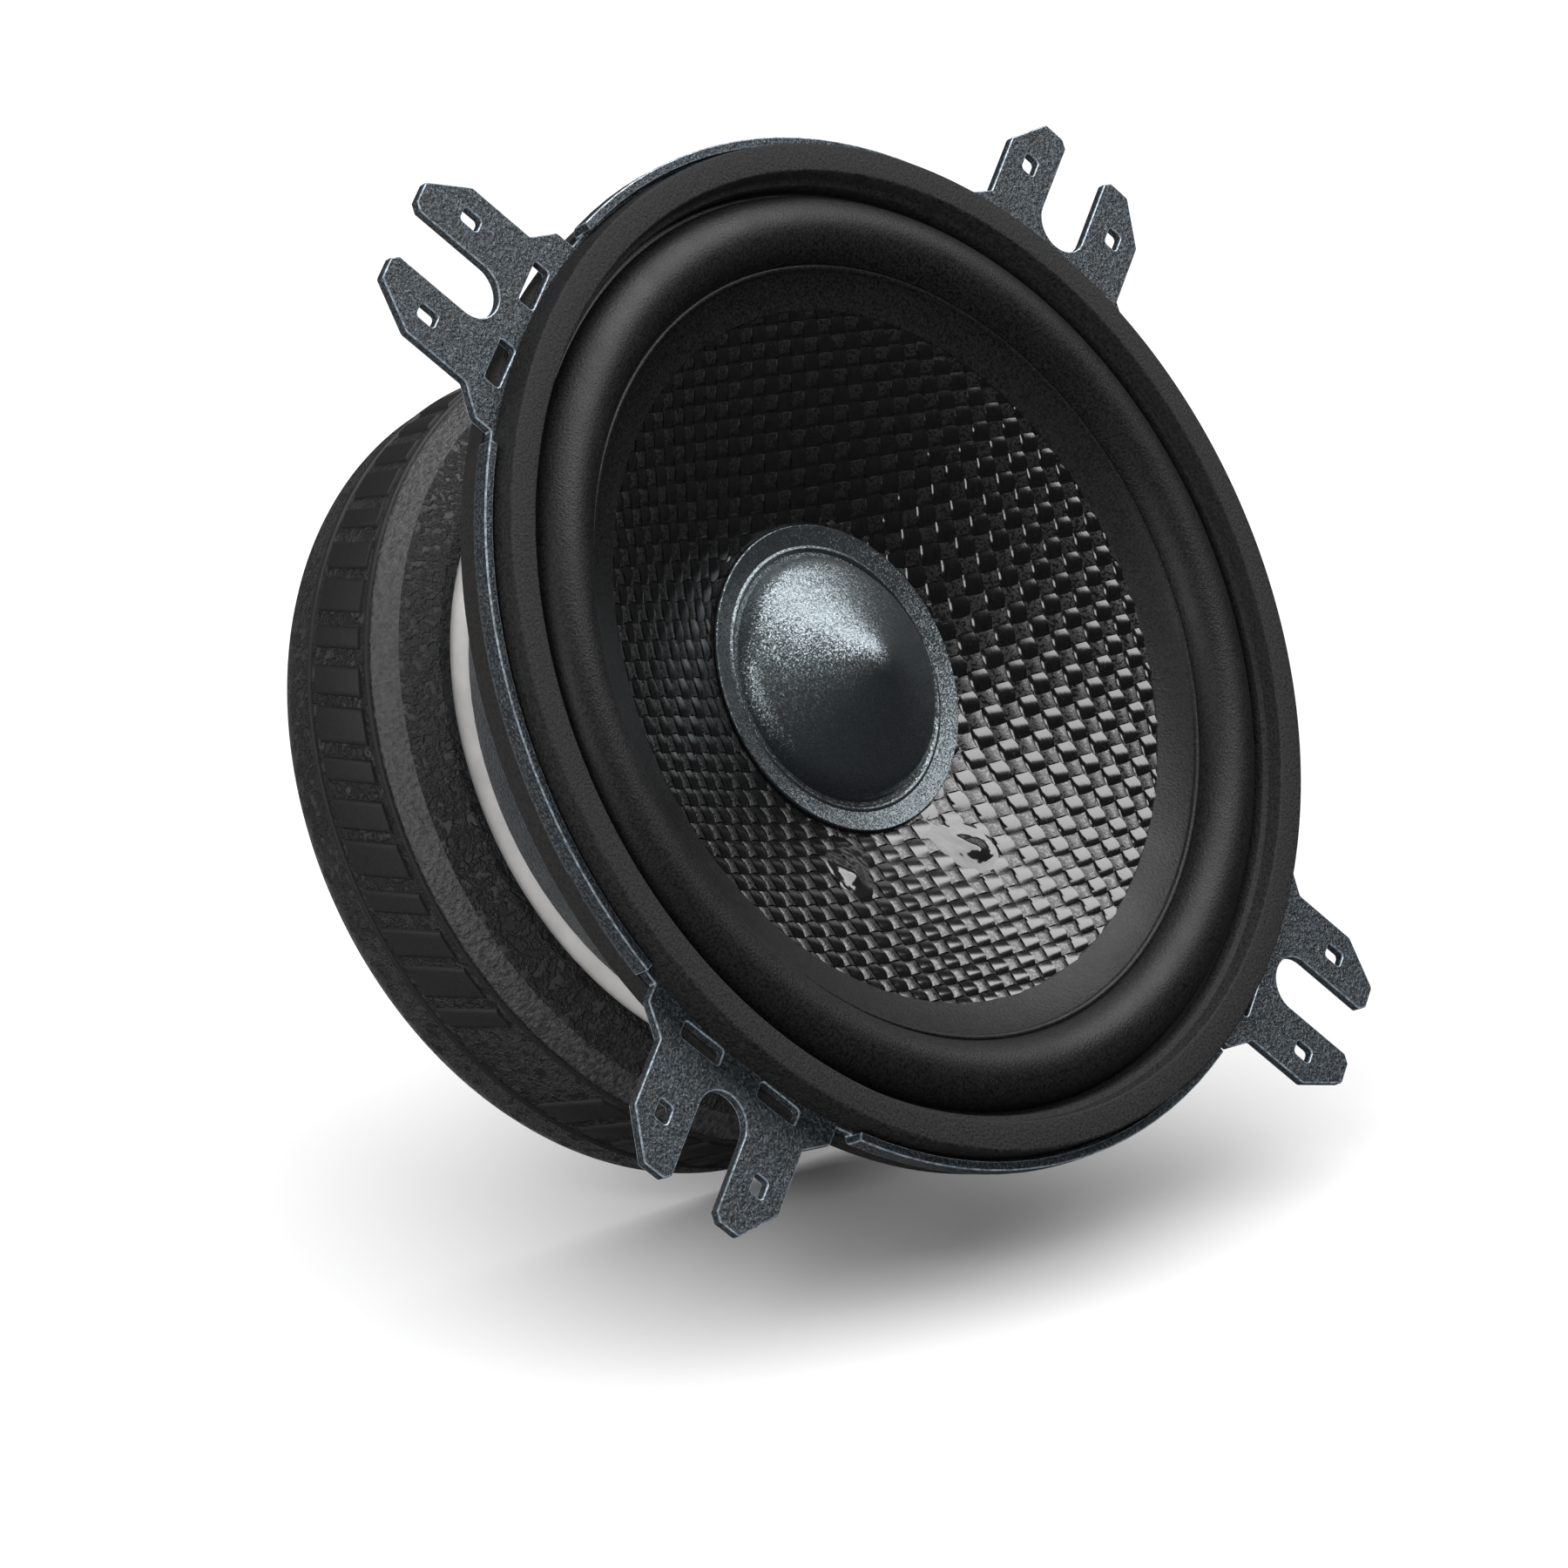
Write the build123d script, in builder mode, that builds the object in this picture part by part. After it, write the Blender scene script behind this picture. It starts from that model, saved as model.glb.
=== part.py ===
"""A 100 mm (4 inch class) car midwoofer: stamped basket with four forked mounting tabs,
ferrite motor in a rubber boot, woven cone on a rubber half-roll surround.

The speaker faces up. Z runs along its axis, and the origin is the centre of the boot's
back face. The four tabs lie along +X, +Y, -X and -Y. Lengths are in millimetres.
"""
from build123d import *
from math import atan2, cos, degrees, pi, radians, sin, tan
import os

os.makedirs("parts", exist_ok=True)

# ---------------------------------------------------------------- driving dimensions
gasket_radius = 50.0            # outer radius of the front gasket: the 100 mm nominal size
front_height = 48.0             # boot's back face to the gasket's front face
sheet = 1.0                     # thickness of the basket's steel
flange_front = front_height - 3.5
flange_back = flange_front - sheet

# mounting tabs, measured out from the axis (u) and sideways from the tab's middle (v)
tab_count = 4
tab_half_width = 9.15
tab_tip = 65.3
tab_shoulder = 60.8
tab_tip_outer = 6.0
tab_tip_inner = 3.6
tab_tip_chamfer = 0.75
tab_root = 48.0                 # the tab runs in under the gasket to here
tab_corner = 0.45
tab_flare_start = 53.4
tab_flare_end = 51.0
tab_flare_half_width = 11.7
slot_radius = 2.85              # half the width of the screw slot
slot_seat = 56.4                # radius where the slot's round end is centred
pin_hole_radius_out = 59.6
pin_hole_side = 6.08
pin_hole_size = (2.1, 1.6)
bend_slot_out = 51.0
bend_slot_side = 4.9
bend_slot_size = (1.8, 4.9)
punch_corner = 0.4              # corner radius of the small punched holes

# upturned lip between the tabs
lip_radius = 51.35
lip_top = front_height - 2.1
lip_arc = 59.0
lip_root = 49.5
neck_radius = 50.4

# basket bowl, outer face of the sheet as (radius, height)
seat_radius = 32.3
seat_height = 18.6              # the basket's floor rests on the top plate here
bowl_hole = 17.0
ledge_outer = (38.8, 29.7)
ledge_inner = (36.0, 28.5)
wall_foot = (39.6, 31.0)
wall_head = (45.4, 42.6)
window_top = 41.3
window_bottom = 32.4
window_half_width_top = 19.0
window_half_width_bottom = 16.0
window_corner = 2.0

# motor
boot_wall_radius = 41.2
boot_back = 1.8
back_plate_radius = 36.5
back_plate_top = 6.0
magnet_radius = 38.0
magnet_bore = 17.0
magnet_top = 14.6
top_plate_radius = 37.0
gap_outer = 14.4
pole_radius = 12.2
pole_top = 18.9
rivet_circle = 24.0
rivet_radius = 1.5
rivet_head = 1.1                # how far a rivet's head stands out round its shank
rivet_head_height = 1.0
boot_foot_round = 2.7
boot_chamfer_foot = 15.1
boot_chamfer_knee = (39.3, 17.3)
boot_chamfer_top = (36.2, 19.35)
boot_mouth = (34.8, 19.4)       # the boot's inner rim, folded over the top plate
boot_ring_heights = (5.6, 14.6)

# moving assembly
former_inner = 12.7
former_wall = 0.2
collar_wall = 0.25
former_bottom = 12.2
former_top = 33.9
winding_radius = 13.7
winding_bottom = 12.6
winding_top = 20.6
cone_wall = 0.6
cone_neck = (former_inner + former_wall + collar_wall, 33.35)
cone_edge = (38.3, 44.42)
cone_mid = (cone_neck[0] + cone_edge[0]) / 2
cone_sagitta = 0.4
cap_rim_radius = 15.4
cap_rim_bottom = 34.5
cap_wall = 0.25
cap_tip = 42.0
cap_tip_radius = 4.0
cap_slope = radians(27.7)       # how steeply the dome falls away from its tip
cap_shoulder_radius = 10.1
cap_groove = cap_rim_bottom - 0.1

# suspension
rubber = 0.5
roll_inner = 38.55
roll_outer = 45.55
roll_middle = (roll_inner + roll_outer) / 2
roll_height = 2.85
bead_radius = 0.35
roll_foot = flange_front + rubber
surround_edge = 49.4
surround_inner = 34.47
spider_inner = cone_neck[0]
spider_first = 15.0
spider_last = 35.0
spider_edge = 37.6
spider_level = 30.95
spider_wave = 0.95
spider_rolls = 5
spider_wall = 0.4

# rear gasket
rear_gasket_radius = 50.7
rear_gasket_inner = 46.9
rear_gasket_thickness = 2.5

# terminals and leads
terminal_angle = -45.0
dab_angles = {"positive": -22.5, "negative": -68.5}
dab_radius = 20.6
dab_half_size = (3.9, 2.6)
dab_height = 0.8
eyelet_radius = 0.8
eyelet_depth = 1.6              # how far behind the cone's face an eyelet ends
lead_radius = 0.45
board_height = 36.3
board_size = (17.0, 8.0)
board_wall = 1.2
board_aperture = (13.0, 3.6)
terminal_sides = {"positive": (4.3, 4.8), "negative": (-4.3, 2.8)}  # (offset, blade width)
blade = 0.8
blade_reach = 11.5
lug_reach = 3.2                 # how far a solder lug stands inside the bowl

# clearance left between bonded pieces that are drawn separately
glue_gap = 0.02


def slope(low, high):
    """Angle above horizontal of the line from low to high, each (radius, height)."""
    return degrees(atan2(high[1] - low[1], high[0] - low[0]))


def cone_height(radius):
    """Height of the cone's front surface at a radius: a chord with a slight bulge."""
    run = (radius - cone_neck[0]) / (cone_edge[0] - cone_neck[0])
    chord = cone_neck[1] + run * (cone_edge[1] - cone_neck[1])
    return chord + 4 * cone_sagitta * run * (1 - run)


def cone_plane(angle, radius, lift=0.0):
    """Plane on the cone's front surface, its X running outwards up the cone."""
    tilt = radians(slope((radius - 1, cone_height(radius - 1)), (radius + 1, cone_height(radius + 1))))
    turn = radians(angle)
    outwards = (cos(tilt) * cos(turn), cos(tilt) * sin(turn), sin(tilt))
    normal = (-sin(tilt) * cos(turn), -sin(tilt) * sin(turn), cos(tilt))
    foot = (radius * cos(turn), radius * sin(turn), cone_height(radius))
    return Plane(origin=foot, x_dir=outwards, z_dir=normal).offset(lift)


def upright_plane(angle, radius):
    """Plane facing outwards at an angle round the axis, X sideways and Y up."""
    turn = radians(angle)
    return Plane(
        origin=(radius * cos(turn), radius * sin(turn), 0),
        x_dir=(-sin(turn), cos(turn), 0),
        z_dir=(cos(turn), sin(turn), 0),
    )


def finish(piece, label):
    """Label a finished piece and write it under that name."""
    piece.part.label = label
    export_step(piece.part, f"parts/{label}.step")


# ---------------------------------------------------------------- basket
# One tab in plan: a block with flared feet, a screw slot open at the tip, two small
# square holes near the tips and two bending slots beside the gasket.
with BuildSketch() as tab_plan:
    with BuildLine():
        right_side = Polyline(
            (tab_root, tab_flare_half_width),
            (tab_flare_end, tab_flare_half_width),
            (tab_flare_start, tab_half_width),
            (tab_shoulder, tab_half_width),
            (tab_tip, tab_tip_outer),
            (tab_tip, 0),
        )
        mirror(right_side, about=Plane.XZ)
        Line((tab_root, tab_flare_half_width), (tab_root, -tab_flare_half_width))
    make_face()
    outer_corners = tab_plan.vertices().filter_by_position(Axis.X, tab_flare_end + 1, tab_tip + 1)
    fillet(outer_corners, radius=tab_corner)
    with Locations((slot_seat, 0)):
        Circle(slot_radius, mode=Mode.SUBTRACT)
    with Locations((slot_seat + 5, 0)):
        Rectangle(10, 2 * slot_radius, mode=Mode.SUBTRACT)
    with BuildLine(mode=Mode.PRIVATE) as slot_mouth:
        Polyline(
            (tab_tip + 0.5, tab_tip_inner),
            (tab_tip, tab_tip_inner),
            (tab_tip - tab_tip_chamfer, slot_radius),
            (tab_tip - tab_tip_chamfer, -slot_radius),
            (tab_tip, -tab_tip_inner),
            (tab_tip + 0.5, -tab_tip_inner),
            close=True,
        )
    make_face(slot_mouth.edges(), mode=Mode.SUBTRACT)
    with Locations((pin_hole_radius_out, pin_hole_side), (pin_hole_radius_out, -pin_hole_side)):
        RectangleRounded(*pin_hole_size, radius=punch_corner, mode=Mode.SUBTRACT)
    with Locations((bend_slot_out, bend_slot_side), (bend_slot_out, -bend_slot_side)):
        RectangleRounded(*bend_slot_size, radius=punch_corner, mode=Mode.SUBTRACT)

with BuildPart() as basket:
    with BuildSketch(Plane.XZ):
        with BuildLine():
            outer_face = FilletPolyline(
                (bowl_hole, seat_height),
                (seat_radius, seat_height),
                ledge_inner,
                ledge_outer,
                wall_foot,
                wall_head,
                (wall_head[0] + 1.0, flange_back),
                (neck_radius, flange_back),
                radius=0.8,
            )
            offset(outer_face, amount=sheet, side=Side.LEFT)
        make_face()
    revolve(axis=Axis.Z)
    for middle in range(tab_count):
        lip_start = 45 + 90 * middle - lip_arc / 2
        with BuildSketch(Plane.XZ.rotated((0, 0, lip_start))):
            with BuildLine():
                Polyline(
                    (lip_root, flange_front),
                    (lip_root, flange_back),
                    (lip_radius - sheet, flange_back),
                )
                RadiusArc((lip_radius - sheet, flange_back), (lip_radius, flange_front), -sheet)
                Polyline(
                    (lip_radius, flange_front),
                    (lip_radius, lip_top),
                    (lip_radius - 0.9 * sheet, lip_top),
                    (lip_radius - 0.9 * sheet, flange_front),
                    (lip_root, flange_front),
                )
            make_face()
        revolve(axis=Axis.Z, revolution_arc=lip_arc)
    with BuildSketch(Plane.XY.offset(flange_back)):
        with PolarLocations(0, tab_count):
            add(tab_plan.sketch)
    extrude(amount=sheet)
    # The bending slots also pass through the flange's rim, under the gasket's edge.
    with BuildSketch(Plane.XY.offset(flange_back)):
        with PolarLocations(0, tab_count):
            with Locations((bend_slot_out, bend_slot_side), (bend_slot_out, -bend_slot_side)):
                RectangleRounded(*bend_slot_size, radius=punch_corner)
    extrude(amount=sheet, mode=Mode.SUBTRACT)
    # Vent windows under the tabs.
    for number in range(tab_count):
        with BuildSketch(upright_plane(90 * number, seat_radius)):
            with BuildLine():
                Polyline(
                    (-window_half_width_top, window_top),
                    (window_half_width_top, window_top),
                    (window_half_width_bottom, window_bottom),
                    (-window_half_width_bottom, window_bottom),
                    close=True,
                )
            window = make_face()
            fillet(window.vertices(), radius=window_corner)
        extrude(amount=wall_head[0] - seat_radius, mode=Mode.SUBTRACT)
    # Opening behind the terminal board, and the rivet holes in the floor.
    with BuildSketch(upright_plane(terminal_angle, ledge_inner[0])):
        with Locations((0, board_height)):
            RectangleRounded(*board_aperture, radius=2 * punch_corner)
    extrude(amount=12, mode=Mode.SUBTRACT)
    with BuildSketch(Plane.XY.offset(seat_height)):
        with PolarLocations(rivet_circle, 4, start_angle=45):
            Circle(rivet_radius)
    extrude(amount=sheet, mode=Mode.SUBTRACT)
finish(basket, "basket")

# ---------------------------------------------------------------- gaskets
# Front gasket: a rubber ring with a stepped inner wall, rabbeted over the surround's edge.
with BuildPart() as front_gasket:
    with BuildSketch(Plane.XZ):
        with BuildLine():
            Polyline(
                (surround_edge + 0.1, flange_front),
                (gasket_radius, flange_front),
                (gasket_radius, front_height - 0.2),
                (gasket_radius - 0.2, front_height),
                (47.13, front_height),
                (46.75, front_height - 1.7),
                (46.2, front_height - 1.9),
                (46.05, front_height - 2.1),
                (46.05, roll_foot),
                (surround_edge + 0.1, roll_foot),
                close=True,
            )
        make_face()
    revolve(axis=Axis.Z)
finish(front_gasket, "front_gasket")

with BuildPart() as rear_gasket:
    with BuildSketch(Plane.XY.offset(flange_back - rear_gasket_thickness)):
        Circle(rear_gasket_radius)
        Circle(rear_gasket_inner, mode=Mode.SUBTRACT)
    extrude(amount=rear_gasket_thickness)
finish(rear_gasket, "rear_gasket")

# ---------------------------------------------------------------- motor
with BuildPart() as back_plate:
    with BuildSketch(Plane.XZ):
        with BuildLine():
            Polyline(
                (0, boot_back),
                (back_plate_radius - 1, boot_back),
                (back_plate_radius, boot_back + 1),
                (back_plate_radius, back_plate_top),
                (pole_radius + 0.8, back_plate_top),
                (pole_radius, back_plate_top + 0.8),
                (pole_radius, pole_top - 0.6),
                (pole_radius - 0.6, pole_top),
                (0, pole_top),
                close=True,
            )
        make_face()
    revolve(axis=Axis.Z)
finish(back_plate, "back_plate_with_pole")

with BuildPart() as magnet:
    with BuildSketch(Plane.XY.offset(back_plate_top)):
        Circle(magnet_radius)
        Circle(magnet_bore, mode=Mode.SUBTRACT)
    extrude(amount=magnet_top - back_plate_top)
    chamfer(magnet.edges().filter_by(GeomType.CIRCLE), length=0.6)
finish(magnet, "ferrite_magnet")

with BuildPart() as top_plate:
    with BuildSketch(Plane.XY.offset(magnet_top)):
        Circle(top_plate_radius)
        Circle(gap_outer, mode=Mode.SUBTRACT)
        with PolarLocations(rivet_circle, 4, start_angle=45):
            Circle(rivet_radius, mode=Mode.SUBTRACT)
    extrude(amount=seat_height - magnet_top)
finish(top_plate, "top_plate")

# Rivets clamp the basket's floor to the top plate. Their heads sit inside the bowl.
with BuildPart() as frame_rivets:
    with BuildSketch(Plane.XY.offset(magnet_top)):
        with PolarLocations(rivet_circle, 4, start_angle=45):
            Circle(rivet_radius)
    extrude(amount=seat_height + sheet - magnet_top)
    with BuildSketch(Plane.XY.offset(seat_height + sheet)):
        with PolarLocations(rivet_circle, 4, start_angle=45):
            Circle(rivet_radius + rivet_head)
    extrude(amount=rivet_head_height)
    head_tops = frame_rivets.faces().filter_by(Axis.Z).sort_by(Axis.Z)[-4:]
    fillet(head_tops.edges(), radius=0.7 * rivet_head_height)
finish(frame_rivets, "frame_rivets")

# Boot: a rubber cup over the whole motor, its front rim folded in over the top plate.
with BuildPart() as magnet_boot:
    with BuildSketch(Plane.XZ):
        with BuildLine():
            Polyline((0, 0), (boot_wall_radius - boot_foot_round, 0))
            RadiusArc(
                (boot_wall_radius - boot_foot_round, 0),
                (boot_wall_radius, boot_foot_round),
                -boot_foot_round,
            )
            Polyline(
                (boot_wall_radius, boot_foot_round),
                (boot_wall_radius, boot_chamfer_foot),
                boot_chamfer_knee,
                boot_chamfer_top,
                boot_mouth,
                (boot_mouth[0], seat_height + glue_gap),
                (top_plate_radius + 0.1, seat_height + glue_gap),
                (top_plate_radius + 0.1, magnet_top),
                (magnet_radius + 0.1, magnet_top),
                (magnet_radius + 0.1, boot_back),
                (0, boot_back),
                (0, 0),
            )
        make_face()
    revolve(axis=Axis.Z)
    # Two thin raised rings border the band round the wall.
    with BuildSketch(Plane.XZ):
        with Locations(*[(boot_wall_radius + 0.1, height) for height in boot_ring_heights]):
            Rectangle(0.4, 0.5)
    revolve(axis=Axis.Z)
finish(magnet_boot, "magnet_boot")

# ---------------------------------------------------------------- suspension
with BuildPart() as surround:
    with BuildSketch(Plane.XZ):
        with BuildLine():
            Polyline(
                (surround_inner, cone_height(surround_inner) + glue_gap),
                (surround_inner, cone_height(surround_inner) + rubber),
                (roll_inner, roll_foot),
            )
            ThreePointArc(
                (roll_inner, roll_foot),
                (roll_middle, roll_foot + roll_height),
                (roll_outer, roll_foot),
            )
            Polyline(
                (roll_outer, roll_foot),
                (surround_edge, roll_foot),
                (surround_edge, flange_front),
                (roll_outer - rubber, flange_front),
            )
            ThreePointArc(
                (roll_outer - rubber, flange_front),
                (roll_middle, roll_foot + roll_height - rubber),
                (roll_inner + rubber, flange_front + glue_gap),
            )
            Polyline(
                (roll_inner + rubber, flange_front + glue_gap),
                (roll_inner - 0.1, flange_front + glue_gap),
                (surround_inner, cone_height(surround_inner) + glue_gap),
            )
        make_face()
    revolve(axis=Axis.Z)
    # Raised bead where the roll meets the inner flange.
    with BuildSketch(Plane.XZ):
        with Locations((roll_inner - 0.15, roll_foot + 0.05)):
            Circle(bead_radius)
    revolve(axis=Axis.Z)
finish(surround, "surround")

# Spider: a corrugated cloth disc from the coil's collar to the basket's ledge.
wave_step = (spider_last - spider_first) / (8 * spider_rolls)
wave = []
for step in range(8 * spider_rolls + 1):
    swing = sin(2 * pi * spider_rolls * step / (8 * spider_rolls))
    wave.append((spider_first + wave_step * step, spider_level + spider_wave * swing))

with BuildPart() as spider:
    with BuildSketch(Plane.XZ):
        with BuildLine():
            Spline([(radius, height + spider_wall / 2) for radius, height in wave])
            Spline([(radius, height - spider_wall / 2) for radius, height in wave])
            Line(
                (spider_first, spider_level + spider_wall / 2),
                (spider_inner, spider_level + spider_wall / 2),
            )
            Line(
                (spider_inner, spider_level + spider_wall / 2),
                (spider_inner, spider_level - spider_wall / 2),
            )
            Line(
                (spider_inner, spider_level - spider_wall / 2),
                (spider_first, spider_level - spider_wall / 2),
            )
            Line(
                (spider_last, spider_level + spider_wall / 2),
                (spider_edge, spider_level + spider_wall / 2),
            )
            Line(
                (spider_edge, spider_level + spider_wall / 2),
                (spider_edge, spider_level - spider_wall / 2),
            )
            Line(
                (spider_edge, spider_level - spider_wall / 2),
                (spider_last, spider_level - spider_wall / 2),
            )
        make_face()
    revolve(axis=Axis.Z)
finish(spider, "spider")

# ---------------------------------------------------------------- moving assembly
with BuildPart() as cone:
    with BuildSketch(Plane.XZ):
        with BuildLine():
            ThreePointArc(cone_neck, (cone_mid, cone_height(cone_mid)), cone_edge)
            Line(cone_edge, (cone_edge[0], cone_edge[1] - cone_wall))
            ThreePointArc(
                (cone_edge[0], cone_edge[1] - cone_wall),
                (cone_mid, cone_height(cone_mid) - cone_wall),
                (cone_neck[0] + 0.6, cone_neck[1] - cone_wall + 0.2),
            )
            Polyline(
                (cone_neck[0] + 0.6, cone_neck[1] - cone_wall + 0.2),
                (cone_neck[0] + 0.5, cone_neck[1] - 1.4),
                (cone_neck[0], cone_neck[1] - 1.4),
                cone_neck,
            )
        make_face()
    revolve(axis=Axis.Z)
    for angle in dab_angles.values():
        with BuildSketch(cone_plane(angle, dab_radius, -2)):
            Circle(eyelet_radius)
        extrude(amount=4, mode=Mode.SUBTRACT)
finish(cone, "cone")

# Dust cap: a flat rim with a thin bead, a shallow groove and a blunt conical dome.

def cap_outline(inset):
    """Half section of the cap's front face, or of its back when inset by the wall."""
    top = cap_tip - inset
    nose = cap_tip_radius - inset
    nose_foot = (nose * sin(cap_slope), top - nose * (1 - cos(cap_slope)))
    nose_middle = (nose * sin(cap_slope / 2), top - nose * (1 - cos(cap_slope / 2)))
    shoulder_drop = (cap_shoulder_radius - nose_foot[0]) * tan(cap_slope)
    shoulder = (cap_shoulder_radius, nose_foot[1] - shoulder_drop)
    dome_foot = (12.35 - 0.4 * inset, cap_groove + cap_wall - inset)
    knee = (11.35 - 0.7 * inset, cap_groove + 2.05 - 0.7 * inset)
    ThreePointArc((0, top), nose_middle, nose_foot)
    Line(nose_foot, shoulder)
    ThreePointArc(shoulder, knee, dome_foot)
    return dome_foot


with BuildPart() as dust_cap:
    with BuildSketch(Plane.XZ):
        with BuildLine():
            Line((0, cap_tip - cap_wall), (0, cap_tip))
            front_foot = cap_outline(0)
            back_foot = cap_outline(cap_wall)
            Polyline(
                front_foot,
                (12.8, cap_groove + cap_wall),
                (13.05, cap_rim_bottom + cap_wall + 0.2),
                (13.25, cap_rim_bottom + cap_wall + 0.2),
                (13.5, cap_rim_bottom + cap_wall),
                (cap_rim_radius, cap_rim_bottom + cap_wall),
                (cap_rim_radius, cap_rim_bottom),
                (13.2, cap_rim_bottom),
                (13.1, cap_groove),
                back_foot,
            )
        make_face()
    revolve(axis=Axis.Z)
finish(dust_cap, "dust_cap")

# Bead of black cement round the dust cap's rim.
with BuildPart() as cap_cement:
    with BuildSketch(Plane.XZ):
        with BuildLine():
            Polyline(
                (cap_rim_radius + glue_gap, cone_height(cap_rim_radius) + 0.03),
                (cap_rim_radius + glue_gap, cap_rim_bottom + 0.3),
                (cap_rim_radius + 0.5, cap_rim_bottom + 0.45),
                (cap_rim_radius + 1.1, cone_height(cap_rim_radius + 1.1) + 0.03),
                close=True,
            )
        make_face()
    revolve(axis=Axis.Z)
finish(cap_cement, "dust_cap_cement")

with BuildPart() as former:
    with BuildSketch(Plane.XY.offset(former_bottom)):
        Circle(former_inner + former_wall)
        Circle(former_inner, mode=Mode.SUBTRACT)
    extrude(amount=former_top - former_bottom)
finish(former, "voice_coil_former")

with BuildPart() as winding:
    with BuildSketch(Plane.XY.offset(winding_bottom)):
        Circle(winding_radius)
        Circle(former_inner + former_wall, mode=Mode.SUBTRACT)
    extrude(amount=winding_top - winding_bottom)
finish(winding, "voice_coil_winding")

with BuildPart() as collar:
    with BuildSketch(Plane.XY.offset(winding_top)):
        Circle(former_inner + former_wall + collar_wall)
        Circle(former_inner + former_wall, mode=Mode.SUBTRACT)
    extrude(amount=former_top - winding_top)
finish(collar, "former_collar")

# Brass eyelets carry the leads through the cone. Dabs of cement cover them in front.
with BuildPart() as eyelets:
    for angle in dab_angles.values():
        with BuildSketch(cone_plane(angle, dab_radius, -eyelet_depth)):
            Circle(eyelet_radius)
            Circle(lead_radius, mode=Mode.SUBTRACT)
        extrude(amount=eyelet_depth - 0.2)
finish(eyelets, "lead_eyelets")

for side, angle in dab_angles.items():
    with BuildPart() as dab:
        with BuildSketch(cone_plane(angle, dab_radius, 0.1)):
            Ellipse(*dab_half_size)
        extrude(amount=dab_height)
        fillet(dab.faces().sort_by(SortBy.AREA)[-2:].edges(), radius=0.3)
    finish(dab, f"lead_dab_{side}")

# ---------------------------------------------------------------- terminals
wall_tilt = slope(wall_foot, wall_head)
board_foot = wall_foot[0] + (board_height - wall_foot[1]) / tan(radians(wall_tilt))
board_turn = radians(terminal_angle)
board_lean = radians(wall_tilt - 90)
board_face = Plane(
    origin=(board_foot * cos(board_turn), board_foot * sin(board_turn), board_height),
    x_dir=(-sin(board_turn), cos(board_turn), 0),
    z_dir=(cos(board_lean) * cos(board_turn), cos(board_lean) * sin(board_turn), sin(board_lean)),
)
board_lift = 0.1
lug_top = 3.4
rivet_row = 2.4                 # the terminals' rivets stand this far above the board's middle
terminal_rivet_radius = 0.8
rivet_places = [(middle, rivet_row) for middle, width in terminal_sides.values()]

with BuildPart() as terminal_board:
    with BuildSketch(board_face.offset(board_lift)):
        RectangleRounded(*board_size, radius=0.8)
        for middle, width in terminal_sides.values():
            with Locations((middle, 0)):
                Rectangle(width - 0.6, blade, mode=Mode.SUBTRACT)
            with Locations((middle, rivet_row)):
                Circle(terminal_rivet_radius, mode=Mode.SUBTRACT)
    extrude(amount=board_wall)
finish(terminal_board, "terminal_board")

# Each terminal is one brass strip: a push-on blade outside and a solder lug inside.
for side, (middle, width) in terminal_sides.items():
    with BuildPart() as terminal:
        with BuildSketch(board_face.offset(board_lift + board_wall)):
            with Locations((middle, (lug_top - blade_reach) / 2)):
                Rectangle(width, lug_top + blade_reach)
            with Locations((middle, rivet_row)):
                Circle(terminal_rivet_radius, mode=Mode.SUBTRACT)
        extrude(amount=blade)
        across = Axis(board_face.origin, board_face.z_dir)
        tip_corners = terminal.edges().filter_by(across).sort_by(Axis.Z)[:2]
        chamfer(tip_corners, length=0.7)
        with BuildSketch(board_face.offset(-lug_reach)):
            with Locations((middle, 0)):
                Rectangle(width - 0.7, blade - 0.1)
        extrude(amount=lug_reach + board_lift + board_wall)
    finish(terminal, f"terminal_{side}")

with BuildPart() as terminal_rivets:
    with BuildSketch(board_face.offset(board_lift)):
        with Locations(*rivet_places):
            Circle(terminal_rivet_radius)
    extrude(amount=board_wall + blade)
    with BuildSketch(board_face.offset(board_lift + board_wall + blade)):
        with Locations(*rivet_places):
            Circle(terminal_rivet_radius + 0.5)
    extrude(amount=0.5)
finish(terminal_rivets, "terminal_rivets")

# Flexible leads: from the lugs, down in a slack bow between cone and spider, to the eyelets.
for side, (middle, width) in terminal_sides.items():
    start = board_face.from_local_coords((middle, 0, -lug_reach))
    eyelet = cone_plane(dab_angles[side], dab_radius, -eyelet_depth).origin
    away = start - board_face.z_dir * 3.0
    below = eyelet - cone_plane(dab_angles[side], dab_radius).z_dir * 1.9
    half_way = away * 0.45 + below * 0.55
    bow = Vector(half_way.X, half_way.Y, 33.9)
    with BuildPart() as lead:
        with BuildLine():
            route = FilletPolyline(start, away, bow, below, eyelet, radius=(2.6, 6.0, 1.2))
        with BuildSketch(Plane(origin=route @ 0, z_dir=route % 0)):
            Circle(lead_radius)
        sweep()
    print(side, "lead:", round(route.length, 1), "mm long")
    finish(lead, f"tinsel_lead_{side}")

# Solder fillets round the lugs' inner ends.
with BuildPart() as solder:
    for middle, width in terminal_sides.values():
        with BuildSketch(board_face.offset(-lug_reach)):
            with Locations((middle, 0)):
                Ellipse(width / 2 - 0.1, 0.9)
                Rectangle(width - 0.7, blade - 0.1, mode=Mode.SUBTRACT)
        extrude(amount=lug_reach / 2)
finish(solder, "solder_joints")
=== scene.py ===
"""The finished looks of a 100 mm car midwoofer: woven cone, metal dust cap, rubber surround,
painted steel basket with four forked tabs, and a rubber boot over the motor.

The speaker faces up, along +Z. Pieces are shaped in millimetres and put in the scene in metres.
"""

from math import acos, cos, degrees, exp, hypot, pi, radians, sin, sqrt, tan

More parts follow.
